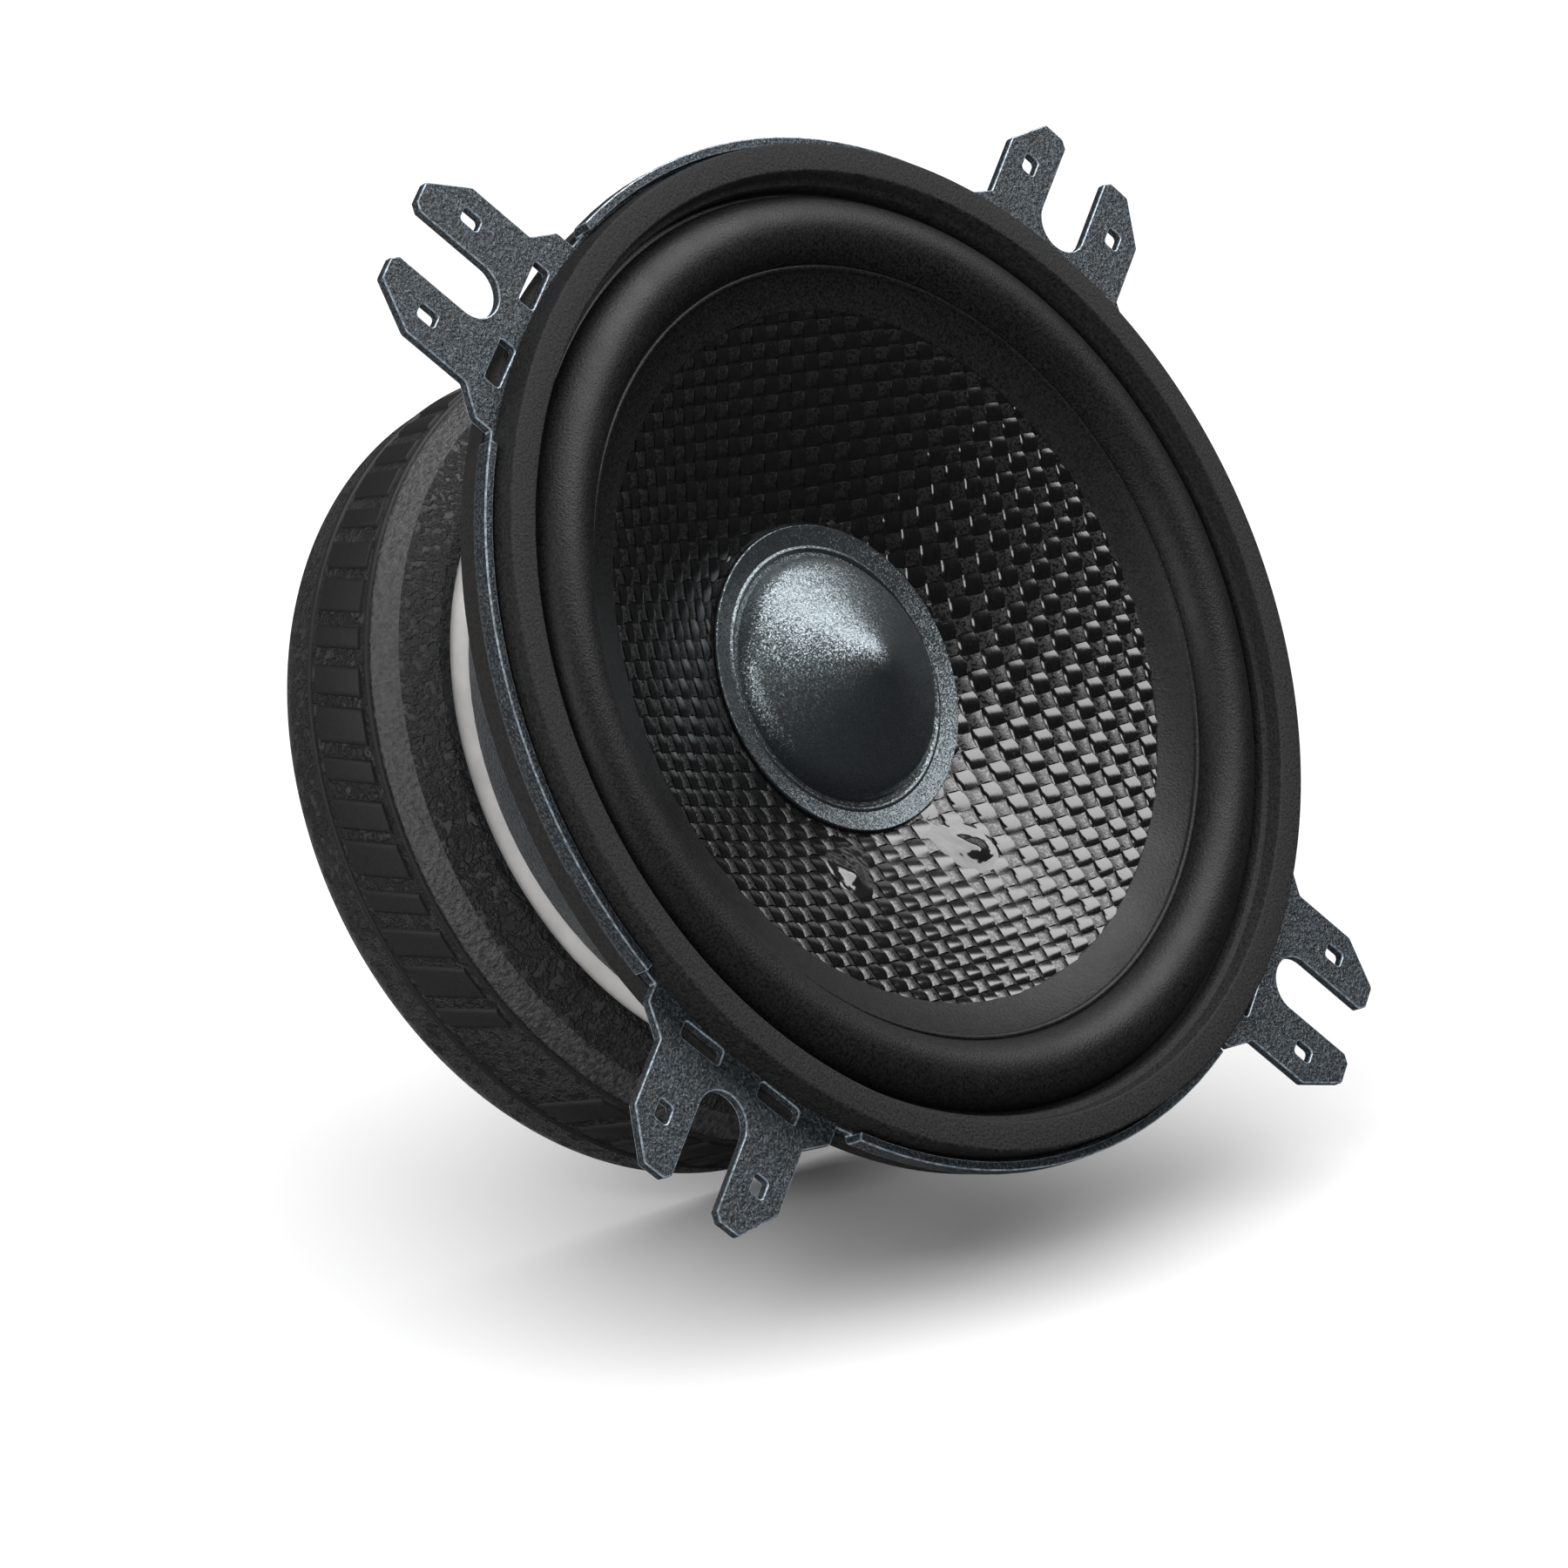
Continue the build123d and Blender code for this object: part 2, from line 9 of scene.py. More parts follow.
import bmesh
import bpy
from bpy.props import FloatProperty, FloatVectorProperty, IntProperty, PointerProperty
from mathutils import Matrix, Vector, noise
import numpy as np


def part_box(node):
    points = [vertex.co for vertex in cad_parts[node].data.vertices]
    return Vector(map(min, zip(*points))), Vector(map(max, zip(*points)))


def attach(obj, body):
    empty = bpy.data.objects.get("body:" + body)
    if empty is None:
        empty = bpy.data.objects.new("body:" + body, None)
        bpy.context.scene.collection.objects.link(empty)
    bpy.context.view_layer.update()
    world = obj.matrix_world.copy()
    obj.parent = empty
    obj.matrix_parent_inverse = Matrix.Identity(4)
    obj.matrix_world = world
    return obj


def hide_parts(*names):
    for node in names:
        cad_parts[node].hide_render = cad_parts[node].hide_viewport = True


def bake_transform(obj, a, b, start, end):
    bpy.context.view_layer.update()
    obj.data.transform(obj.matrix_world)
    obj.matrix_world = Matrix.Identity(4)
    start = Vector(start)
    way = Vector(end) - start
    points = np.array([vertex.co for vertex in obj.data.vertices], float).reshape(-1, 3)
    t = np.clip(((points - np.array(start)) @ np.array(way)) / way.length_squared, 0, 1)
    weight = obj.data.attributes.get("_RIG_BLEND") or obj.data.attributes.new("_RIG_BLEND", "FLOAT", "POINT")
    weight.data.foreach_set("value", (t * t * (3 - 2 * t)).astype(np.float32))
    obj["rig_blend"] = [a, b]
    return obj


bl_info = {
    "name": "Car Midwoofer",
    "version": (1, 0, 0),
    "blender": (4, 5, 0),
    "location": "View3D > Sidebar > Speaker",
    "description": "Builds a 100 mm car midwoofer piece by piece, with its finishes and a studio",
    "category": "Object",
}

MM = 0.001

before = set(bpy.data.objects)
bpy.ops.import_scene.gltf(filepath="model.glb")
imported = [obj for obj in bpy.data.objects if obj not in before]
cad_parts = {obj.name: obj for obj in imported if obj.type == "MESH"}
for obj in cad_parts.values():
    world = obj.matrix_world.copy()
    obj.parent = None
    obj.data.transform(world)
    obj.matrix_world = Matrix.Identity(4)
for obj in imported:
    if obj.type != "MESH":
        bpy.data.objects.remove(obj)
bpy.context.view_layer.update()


# ---------------------------------------------------------------- sizes read from the frame
def reach(node):
    """Largest radius of a round node, in millimetres."""
    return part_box(node)[1].x / MM


def top(node):
    """Highest point of a node, in millimetres."""
    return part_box(node)[1].z / MM


def foot(node):
    """Lowest point of a node, in millimetres."""
    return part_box(node)[0].z / MM


FRONT = top("front_gasket")
FLANGE = foot("front_gasket")
RUBBER = 0.5                    # thickness of the surround
ROLL_FOOT = FLANGE + RUBBER
CONE_NECK = (reach("former_collar"), foot("cone") + 1.4)    # radius, height
CONE_EDGE = (reach("cone"), top("cone"))
CONE_BULGE = 0.4
SKIN = 0.02                     # gap between faces that would otherwise lie in one plane
SAME_POINT = 0.0005             # points of a turned shape closer than this are one point


def cone_height(radius):
    """Height of the cone's front at a radius: a straight flare with a slight bulge."""
    run = (radius - CONE_NECK[0]) / (CONE_EDGE[0] - CONE_NECK[0])
    return CONE_NECK[1] + run * (CONE_EDGE[1] - CONE_NECK[1]) + 4 * CONE_BULGE * run * (1 - run)


# ---------------------------------------------------------------- what a user can change
class SpeakerSizes(bpy.types.PropertyGroup):
    """Sizes of the details that are added to the plain frame."""

    turning_steps: IntProperty(
        name="Turning Steps", description="Faces round each turned ring",
        default=256, min=64, max=512)
    edge_round: FloatProperty(
        name="Edge Rounding", description="Radius left on the painted steel's edges",
        default=0.13 * MM, min=0.02 * MM, max=0.4 * MM, precision=5, unit="LENGTH")
    yarn_pitch: FloatProperty(
        name="Yarn Pitch", description="Distance between neighbouring yarns of the cone's cloth",
        default=1.92 * MM, min=1.0 * MM, max=4.0 * MM, precision=5, unit="LENGTH")
    yarn_lift: FloatProperty(
        name="Yarn Lift", description="How far a yarn rises over the one it crosses",
        default=0.17 * MM, min=0.05 * MM, max=0.4 * MM, precision=5, unit="LENGTH")
    grip_bars: IntProperty(
        name="Grip Bars", description="Raised slanted bars in each group round the boot",
        default=17, min=4, max=24)
    grip_bar_lift: FloatProperty(
        name="Grip Bar Lift", description="How far the bars stand out of the boot",
        default=0.35 * MM, min=0.1 * MM, max=1.0 * MM, precision=5, unit="LENGTH")


class SpeakerColours(bpy.types.PropertyGroup):
    """Base colours of the finishes."""

    paint: FloatVectorProperty(
        name="Basket Paint", description="Powder coat on the steel basket",
        default=(0.026, 0.032, 0.037), min=0, max=1, subtype="COLOR")
    rubber: FloatVectorProperty(
        name="Rubber", description="Gasket, surround and boot",
        default=(0.005, 0.005, 0.0051), min=0, max=1, subtype="COLOR")
    cap: FloatVectorProperty(
        name="Dust Cap", description="Metallic paint on the dust cap",
        default=(0.104, 0.120, 0.129), min=0, max=1, subtype="COLOR")
    cloth: FloatVectorProperty(
        name="Cone Cloth", description="Glass cloth of the cone",
        default=(0.0035, 0.0035, 0.0035), min=0, max=1, subtype="COLOR")


class StudioSettings(bpy.types.PropertyGroup):
    """Where the camera stands and how bright the studio is."""

    azimuth: FloatProperty(
        name="Azimuth", description="Camera's turn round the speaker",
        default=radians(-36.11), subtype="ANGLE")
    elevation: FloatProperty(
        name="Elevation", description="Camera's height above the speaker's flange",
        default=radians(45.30), subtype="ANGLE")
    roll: FloatProperty(
        name="Roll", description="Camera's turn about its own line of sight",
        default=radians(66.94), subtype="ANGLE")
    distance: FloatProperty(
        name="Distance", description="From the camera to the middle of the picture",
        default=599.0 * MM, min=0.1, unit="LENGTH")
    lens: FloatProperty(
        name="Focal Length", description="Camera's focal length",
        default=149.04, subtype="DISTANCE_CAMERA")
    key_power: FloatProperty(
        name="Overhead Light", description="Power of the soft box overhead, and the others with it",
        default=12.8, min=0, unit="POWER")
    sky_strength: FloatProperty(
        name="Floor Light", description="Strength of the soft light over the floor", default=4.4, min=0)
    world_strength: FloatProperty(
        name="Surroundings", description="Brightness of the white room", default=0.035, min=0)


# ---------------------------------------------------------------- making meshes
def bevelled(bm, corners, size, segments, affect="EDGES"):
    """Round some of a mesh's edges or corners, and hand back the new faces."""
    return bmesh.ops.bevel(
        bm, geom=corners, offset=size, offset_type="OFFSET", segments=segments, profile=0.5,
        affect=affect, clamp_overlap=False, material=-1)["faces"]


def turned(outline, steps, rounding=None, closed=True):
    """Turn an outline of (radius, height) points in millimetres into a ring or a dish.

    Rounding gives the radius for some of the outline's corners, by their number in the outline.
    """
    bm = bmesh.new()
    points = [bm.verts.new((radius, 0, height)) for radius, height in outline]
    for here, there in zip(points, points[1:]):
        bm.edges.new((here, there))
    if closed:
        bm.edges.new((points[-1], points[0]))
    for size in sorted(set((rounding or {}).values())):
        corners = [points[i] for i, wanted in rounding.items() if wanted == size]
        bevelled(bm, corners, size, 4, affect="VERTICES")
    bmesh.ops.spin(
        bm, geom=bm.verts[:] + bm.edges[:], cent=(0, 0, 0), axis=(0, 0, 1),
        angle=2 * pi, steps=steps, use_merge=True)
    bmesh.ops.remove_doubles(bm, verts=bm.verts, dist=SAME_POINT)
    bmesh.ops.recalc_face_normals(bm, faces=bm.faces)
    return bm


def arc(middle, radius, start, end, count):
    """Points of an arc in an outline, from one angle to another, in degrees above outwards."""
    turns = [radians(start + (end - start) * i / count) for i in range(count + 1)]
    return [(middle[0] + radius * cos(t), middle[1] + radius * sin(t)) for t in turns]


def make_piece(name, bm, materials, body, replaces=(), sharp=35.0):
    """Put a finished mesh, shaped in millimetres, in the scene as a piece that rides on a body."""
    bmesh.ops.scale(bm, verts=bm.verts, vec=(MM, MM, MM))
    mesh = bpy.data.meshes.new(name)
    bm.to_mesh(mesh)
    bm.free()
    for material in materials:
        mesh.materials.append(material)
    mesh.shade_smooth()
    mesh.set_sharp_from_angle(angle=radians(sharp))
    piece = bpy.data.objects.new(name, mesh)
    bpy.context.scene.collection.objects.link(piece)
    if body:
        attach(piece, body)
    if replaces:
        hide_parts(*replaces)
    return piece


def blend_by_radius(piece, still, moving):
    """Let a ring flex: it stays with the frame at one radius and follows the cone at the other."""
    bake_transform(piece, "frame", "moving_cone", start=(still * MM, 0, 0), end=(moving * MM, 0, 0))
    for vertex, weight in zip(piece.data.vertices, piece.data.attributes["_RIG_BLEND"].data):
        radius = hypot(vertex.co.x, vertex.co.y) / MM
        share = min(1.0, max(0.0, (still - radius) / (still - moving)))
        weight.value = eased(share)


def eased(share):
    """A share from 0 to 1 that starts and ends gently."""
    return share * share * (3 - 2 * share)


def dress(node, material):
    """Give a frame node that stays in sight its finish."""
    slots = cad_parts[node].data.materials
    slots.clear()
    slots.append(material)


# ---------------------------------------------------------------- making materials
def scaled(colour, factor):
    """A lighter or darker shade of a colour."""
    return tuple(min(1.0, channel * factor) for channel in colour)


class Finish:
    """One material. Its methods add texture nodes, and join them to the shader's sockets."""

    def __init__(self, name, colour, roughness, metallic=0.0, specular=0.5):
        self.colour = colour
        self.material = bpy.data.materials.new(name)
        self.material.use_nodes = True
        self.tree = self.material.node_tree
        self.shader = self.tree.nodes["Principled BSDF"]
        self.set("Base Color", (*colour, 1))
        self.set("Roughness", roughness)
        self.set("Metallic", metallic)
        self.set("Specular IOR Level", specular)
        self.place = self.tree.nodes.new("ShaderNodeTexCoord").outputs["Object"]

    def put(self, socket, value):
        """Join a texture to a socket, or set the socket to a value."""
        if isinstance(value, bpy.types.NodeSocket):
            self.tree.links.new(value, socket)
        else:
            socket.default_value = value

    def set(self, name, value):
        """Set one of the shader's own sockets, or join a texture to it."""
        self.put(self.shader.inputs[name], value)

    def node(self, kind, inputs, **settings):
        """Add a node, with its settings and inputs, and hand it back."""
        made = self.tree.nodes.new(kind)
        for key, value in settings.items():
            setattr(made, key, value)
        for socket, value in inputs.items():
            self.put(made.inputs[socket], value)
        return made

    def noise(self, size, detail=2.0, rough=0.5, place=None, stretch=(1, 1, 1)):
        """Cloudy grain whose lumps measure about size, in millimetres.

        A stretch under 1 draws the lumps out along that axis.
        """
        mapping = self.node("ShaderNodeMapping", {"Vector": place or self.place, "Scale": stretch})
        return self.node("ShaderNodeTexNoise", {
            "Vector": mapping.outputs[0], "Scale": 1 / (size * MM), "Detail": detail,
            "Roughness": rough,
        }).outputs["Fac"]

    def cells(self, size, output="Distance"):
        """Cells about size across, in millimetres, as a distance or a colour for each."""
        return self.node("ShaderNodeTexVoronoi", {
            "Vector": self.place, "Scale": 1 / (size * MM)}).outputs[output]

    def wave(self, scale, direction, distortion=0.0):
        """Fine ridges, about twice scale apart in millimetres, one after another in a direction."""
        return self.node("ShaderNodeTexWave", {
            "Vector": self.place, "Scale": 1 / (2 * pi * scale * MM), "Distortion": distortion,
        }, bands_direction=direction).outputs["Fac"]

    def span(self, value, low, high, to_low=0.0, to_high=1.0):
        """Stretch the part of a value between low and high over a new range."""
        return self.node("ShaderNodeMapRange", {
            "Value": value, "From Min": low, "From Max": high, "To Min": to_low, "To Max": to_high,
        }).outputs["Result"]

    def number(self, operation, first, second):
        """Work out one number from two."""
        return self.node("ShaderNodeMath", {0: first, 1: second}, operation=operation).outputs[0]

    def vector(self, operation, *terms):
        """Work out one vector from one or two."""
        inputs = dict(enumerate(terms))
        return self.node("ShaderNodeVectorMath", inputs, operation=operation).outputs[0]

    def colours(self, grain, dark, light):
        """Let the base colour run from a dark to a light colour with a grain."""
        inputs = {0: grain, 6: (*dark, 1), 7: (*light, 1)}
        self.set("Base Color", self.node("ShaderNodeMix", inputs, data_type="RGBA").outputs[2])

    def mottle(self, grain, over, shades):
        """Let the base colour run between two of its shades with part of a grain."""
        dark, light = (scaled(self.colour, shade) for shade in shades)
        self.colours(self.span(grain, *over), dark, light)

    def gloss(self, grain, over, roughness):
        """Let the roughness run between two values with part of a grain."""
        self.set("Roughness", self.span(grain, *over, *roughness))

    def relief(self, *layers):
        """Raise the surface by height textures, each with its depth in millimetres."""
        normal = None
        for height, depth in layers:
            inputs = {"Height": height, "Distance": depth * MM, "Strength": 1.0}
            if normal:
                inputs["Normal"] = normal
            normal = self.node("ShaderNodeBump", inputs).outputs["Normal"]
        self.set("Normal", normal)


def paint_materials(colour):
    """Fine-textured powder coat, and a lighter paint for the edges: worn thin, and made lighter still as a
    painted highlight along them.
    """
    coat = Finish("basket_powder_coat", colour, roughness=0.36, metallic=0.45)
    grains = coat.noise(0.24, rough=0.6)
    coat.mottle(grains, over=(0.45, 0.68), shades=(0.7, 3.4))
    coat.gloss(coat.noise(2.2), over=(0.3, 0.7), roughness=(0.3, 0.42))
    coat.relief((coat.noise(0.36, 3.0, 0.6), 0.3), (grains, 0.07))
    edge_wear_and_highlight = Finish("basket_edge_wear_and_highlight", colour, roughness=0.3, metallic=0.3)
    edge_mottle = edge_wear_and_highlight.noise(0.5, 4.0, 0.7)
    # edge colour far lighter than the coat: wear plus a painted highlight along the rounded edges
    edge_wear_and_highlight.mottle(edge_mottle, over=(0.4, 0.62), shades=(3.5, 11.0))
    edge_wear_and_highlight.relief((edge_mottle, 0.02))
    return coat.material, edge_wear_and_highlight.material


def gasket_material(colour):
    """Moulded rubber with a fine matt grain."""
    finish = Finish("gasket_moulded_rubber", colour, roughness=0.62, specular=0.22)
    grain = finish.noise(0.3, 3.0, 0.7)
    finish.mottle(finish.noise(0.3, 3.0), over=(0.35, 0.65), shades=(1.0, 3.6))
    finish.gloss(grain, over=(0.3, 0.7), roughness=(0.55, 0.72))
    finish.relief((grain, 0.16))
    return finish.material


def foam_material():
    """Brown-black closed-cell foam."""
    finish = Finish("rear_gasket_foam", (0.0062, 0.0056, 0.0052), roughness=0.9)
    pores = finish.cells(0.32)
    finish.mottle(pores, over=(0.1, 0.6), shades=(0.5, 1.7))
    finish.relief((pores, 0.1))
    return finish.material


def surround_material(colour):
    """Satin butyl rubber with a fine grain."""
    finish = Finish("surround_satin_rubber", colour, roughness=0.45, specular=0.2)
    grain = finish.noise(0.26, 3.0, 0.65)
    finish.mottle(grain, over=(0.36, 0.64), shades=(0.3, 2.4))
    finish.gloss(finish.noise(5.0, 3.0), over=(0.3, 0.7), roughness=(0.4, 0.5))
    finish.relief((grain, 0.06))
    return finish.material


def yarn_material(name, colour, dryness, unevenness):
    """Flat glass yarn under resin, which lies glossy wherever a cloudy grain is over dryness."""
    finish = Finish(name, colour, roughness=0.5, specular=0.6)
    cloth = finish.node("ShaderNodeUVMap", {}, uv_map="cloth").outputs["UV"]
    threads = finish.noise(0.14, place=cloth, stretch=(0.1, 1, 1))
    finish.mottle(threads, over=(0.3, 0.7), shades=(0.5, 1.6))
    finish.gloss(finish.noise(0.32, 4.0, 0.75), over=(dryness, dryness + 0.04), roughness=(0.44, 0.16))
    finish.relief((threads, 0.006), (finish.noise(0.22, 3.0, 0.6), unevenness))
    return finish.material


def cone_back_material(colour, pitch):
    """Bare weave seen on the back of the cone, with its yarns a pitch apart."""
    finish = Finish("cone_back_weave", colour, roughness=0.6)
    slanted = finish.node("ShaderNodeMapping", {
        "Vector": finish.place, "Rotation": (0, 0, radians(45))}).outputs[0]
    weave = finish.node("ShaderNodeTexChecker", {
        "Vector": slanted, "Scale": 1 / (pitch * MM)}).outputs["Fac"]
    finish.mottle(weave, over=(0, 1), shades=(0.7, 1.5))
    finish.relief((finish.number("ADD", weave, finish.noise(0.5)), 0.05))
    return finish.material


def cap_material(colour):
    """Pearl metallic paint: small flakes that each lie at their own angle."""
    lean = 0.42                     # how far a flake's face may lean from the surface
    finish = Finish("cap_pearl_metallic", colour, roughness=0.33, metallic=0.9)
    flakes = finish.cells(0.11, "Color")
    tilt = finish.vector("MULTIPLY", finish.vector("SUBTRACT", flakes, (0.5,) * 3), (lean,) * 3)
    straight = finish.node("ShaderNodeNewGeometry", {}).outputs["Normal"]
    finish.set("Normal", finish.vector("NORMALIZE", finish.vector("ADD", straight, tilt)))
    lightness = finish.node("ShaderNodeSeparateColor", {"Color": flakes}).outputs["Red"]
    finish.mottle(lightness, over=(0, 1), shades=(0.55, 1.35))
    finish.gloss(lightness, over=(0, 1), roughness=(0.4, 0.28))
    return finish.material


def cement_material():
    """Glossy black cement, squeezed out and set."""
    finish = Finish("black_cement", (0.008, 0.008, 0.008), roughness=0.2)
    lumps = finish.noise(0.5, 4.0, 0.6)
    finish.gloss(lumps, over=(0.35, 0.65), roughness=(0.12, 0.5))
    finish.relief((lumps, 0.12))
    return finish.material


def dab_material():
    """Clear cement set smooth over the black cloth."""
    finish = Finish("clear_cement_dab", (0.006, 0.006, 0.006), roughness=0.1)
    ripple = finish.noise(2.4)
    finish.mottle(ripple, over=(0, 1), shades=(0.5, 2.0))
    finish.relief((ripple, 0.25))
    return finish.material


def boot_material(colour):
    """Soft rubber with a coarse leather grain."""
    finish = Finish("boot_grained_rubber", colour, roughness=0.5)
    wrinkles = finish.noise(1.1, 4.0, 0.6)
    rising = finish.span(wrinkles, 0.4, 0.5)
    falling = finish.span(wrinkles, 0.5, 0.6, 1.0, 0.0)
    ridges = finish.number("MULTIPLY", rising, falling)
    finish.mottle(wrinkles, over=(0.35, 0.65), shades=(1.6, 4.6))
    finish.gloss(ridges, over=(0, 1), roughness=(0.58, 0.36))
    finish.relief((ridges, 0.24))
    return finish.material


def boot_chamfer_material(colour):
    """Lighter, coarsely mottled rubber on the boot's chamfer band."""
    finish = Finish("boot_ribbed_rubber", colour, roughness=0.5, specular=0.8)
    lumps = finish.noise(0.6, 4.0, 0.6)
    finish.mottle(lumps, over=(0.35, 0.65), shades=(2.2, 8.0))
    finish.relief((lumps, 0.45))
    return finish.material


def grip_bar_material(colour):
    """Smoother rubber on the boot's raised bars and rings."""
    finish = Finish("boot_bar_rubber", colour, roughness=0.6, specular=0.3)
    grain = finish.noise(0.2)
    finish.mottle(grain, over=(0.3, 0.7), shades=(1.7, 3.0))
    finish.relief((grain, 0.012))
    return finish.material


def metal_material(name, colour, roughness, metallic=1.0, grain=0.3, depth=0.006):
    """Plated or bare metal with a fine grain and slight stains."""
    finish = Finish(name, colour, roughness, metallic)
    stains = finish.noise(3.5, 4.0, 0.6)
    finish.mottle(stains, over=(0.3, 0.7), shades=(0.88, 1.05))
    finish.gloss(stains, over=(0.3, 0.7), roughness=(roughness * 0.85, roughness * 1.2))
    finish.relief((finish.noise(grain, 3.0), depth))
    return finish.material


def ferrite_material():
    """Sintered ceramic: dark grey and dusty, with small chips."""
    finish = Finish("ferrite_ceramic", (0.035, 0.034, 0.034), roughness=0.7)
    specks = finish.noise(0.6, 5.0, 0.7)
    finish.colours(specks, (0.02, 0.02, 0.02), (0.06, 0.058, 0.056))
    finish.relief((specks, 0.05))
    return finish.material


def winding_material():
    """Enamelled copper wire, wound close: one ridge for each turn, painted darker in the grooves between
    turns as shade and lighter on each crest as a highlight.
    """
    finish = Finish("enamelled_copper", (0.45, 0.16, 0.05), roughness=0.28, metallic=0.85)
    turns = finish.wave(0.05, "Z")
    # painted shade in the grooves and painted highlight on the crests of the turns
    finish.colours(turns, (0.22, 0.07, 0.02), (0.62, 0.24, 0.08))
    finish.relief((turns, 0.05))
    return finish.material


def paper_material():
    """Brown kraft paper."""
    finish = Finish("kraft_paper", (0.3, 0.17, 0.08), roughness=0.8)
    fibres = finish.noise(0.4, 5.0, stretch=(1, 1, 0.3))
    finish.colours(fibres, (0.2, 0.11, 0.05), (0.4, 0.25, 0.13))
    finish.relief((fibres, 0.02))
    return finish.material


def spider_material():
    """Phenolic-dipped cotton cloth, tan, with an open square weave."""
    finish = Finish("spider_dipped_cotton", (0.36, 0.24, 0.11), roughness=0.75)
    across, along = (finish.wave(0.1, direction, distortion=0.4) for direction in "XY")
    weave = finish.number("MULTIPLY", across, along)
    finish.mottle(weave, over=(0, 1), shades=(0.55, 1.2))
    finish.relief((weave, 0.06))
    return finish.material


def board_material():
    """Pressed fibre board, dark brown."""
    finish = Finish("terminal_fibre_board", (0.1, 0.055, 0.03), roughness=0.6)
    fibres = finish.noise(0.5, 5.0, 0.65)
    finish.colours(fibres, (0.05, 0.028, 0.016), (0.16, 0.09, 0.05))
    finish.relief((fibres, 0.03))
    return finish.material


# ---------------------------------------------------------------- the pieces
class SPEAKER_OT_basket(bpy.types.Operator):
    """Stamped steel basket: the frame's shape with its punched edges rounded, and painted lighter along them
    as wear and as a painted highlight
    """

    bl_idname = "speaker.basket"
    bl_label = "Basket"

    weld = 0.002                    # points closer than this are one point
    sliver = 0.02                   # edges shorter than this are left out
    flat = 0.6                      # faces that meet within these degrees are one face
    square = (72, 98)               # edges that turn between these degrees are rounded, and get the lighter edge paint: wear and a painted highlight

    def execute(self, context):
        sizes = context.scene.speaker_sizes
        bm = bmesh.new()
        bm.from_mesh(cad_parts["basket"].data)
        bmesh.ops.scale(bm, verts=bm.verts, vec=(1 / MM, 1 / MM, 1 / MM))
        bmesh.ops.remove_doubles(bm, verts=bm.verts, dist=self.weld)
        bmesh.ops.dissolve_degenerate(bm, dist=self.sliver, edges=bm.edges)
        bmesh.ops.dissolve_limit(
            bm, angle_limit=radians(self.flat), verts=bm.verts, edges=bm.edges,
            use_dissolve_boundaries=False)
        least, most = map(radians, self.square)
        corners = [e for e in bm.edges if least < e.calc_face_angle(0) < most]
        for face in bevelled(bm, corners, sizes.edge_round / MM, 2):
            # the rounded edges' faces take the lighter edge paint, which carries a painted highlight as well
            # as wear
            face.material_index = 1
        make_piece(
            "basket_stamping", bm, paint_materials(context.scene.speaker_colours.paint),
            "frame", ["basket"], sharp=20)
        return {"FINISHED"}


class SPEAKER_OT_front_gasket(bpy.types.Operator):
    """Front gasket: a moulded rubber ring with a stepped inner wall"""

    bl_idname = "speaker.front_gasket"
    bl_label = "Front Gasket"

    inner_wall = ((47.13, 0), (46.78, 1.55), (46.25, 1.72), (46.05, 2.1))   # radius, depth
    fit = 0.1                       # room left round the surround
    rounding = {2: 0.28, 3: 0.2, 4: 0.12}

    def execute(self, context):
        outer = reach("front_gasket")
        rabbet = reach("surround") + self.fit
        outline = [(rabbet, FLANGE), (outer, FLANGE), (outer, FRONT)]
        outline += [(radius, FRONT - depth) for radius, depth in self.inner_wall]
        outline += [(self.inner_wall[-1][0], ROLL_FOOT), (rabbet, ROLL_FOOT)]
        bm = turned(outline, context.scene.speaker_sizes.turning_steps, self.rounding)
        make_piece(
            "front_gasket_ring", bm, [gasket_material(context.scene.speaker_colours.rubber)],
            "frame", ["front_gasket"])
        return {"FINISHED"}


class SPEAKER_OT_rear_gasket(bpy.types.Operator):
    """Rear gasket: a foam ring stuck behind the flange"""

    bl_idname = "speaker.rear_gasket"
    bl_label = "Rear Gasket"

    inner = 46.9
    tuck = (0.15, 0.1)              # how far the rim's lower and upper corners stand in
    rounding = {0: 0.3, 1: 0.35, 2: 0.6}

    def execute(self, context):
        outer, low, high = reach("rear_gasket"), foot("rear_gasket"), top("rear_gasket")
        outline = [
            (self.inner, low), (outer - self.tuck[0], low), (outer, (low + high) / 2),
            (outer - self.tuck[1], high - SKIN), (self.inner, high - SKIN),
        ]
        bm = turned(outline, context.scene.speaker_sizes.turning_steps, self.rounding)
        make_piece("rear_gasket_ring", bm, [foam_material()], "frame", ["rear_gasket"])
        return {"FINISHED"}


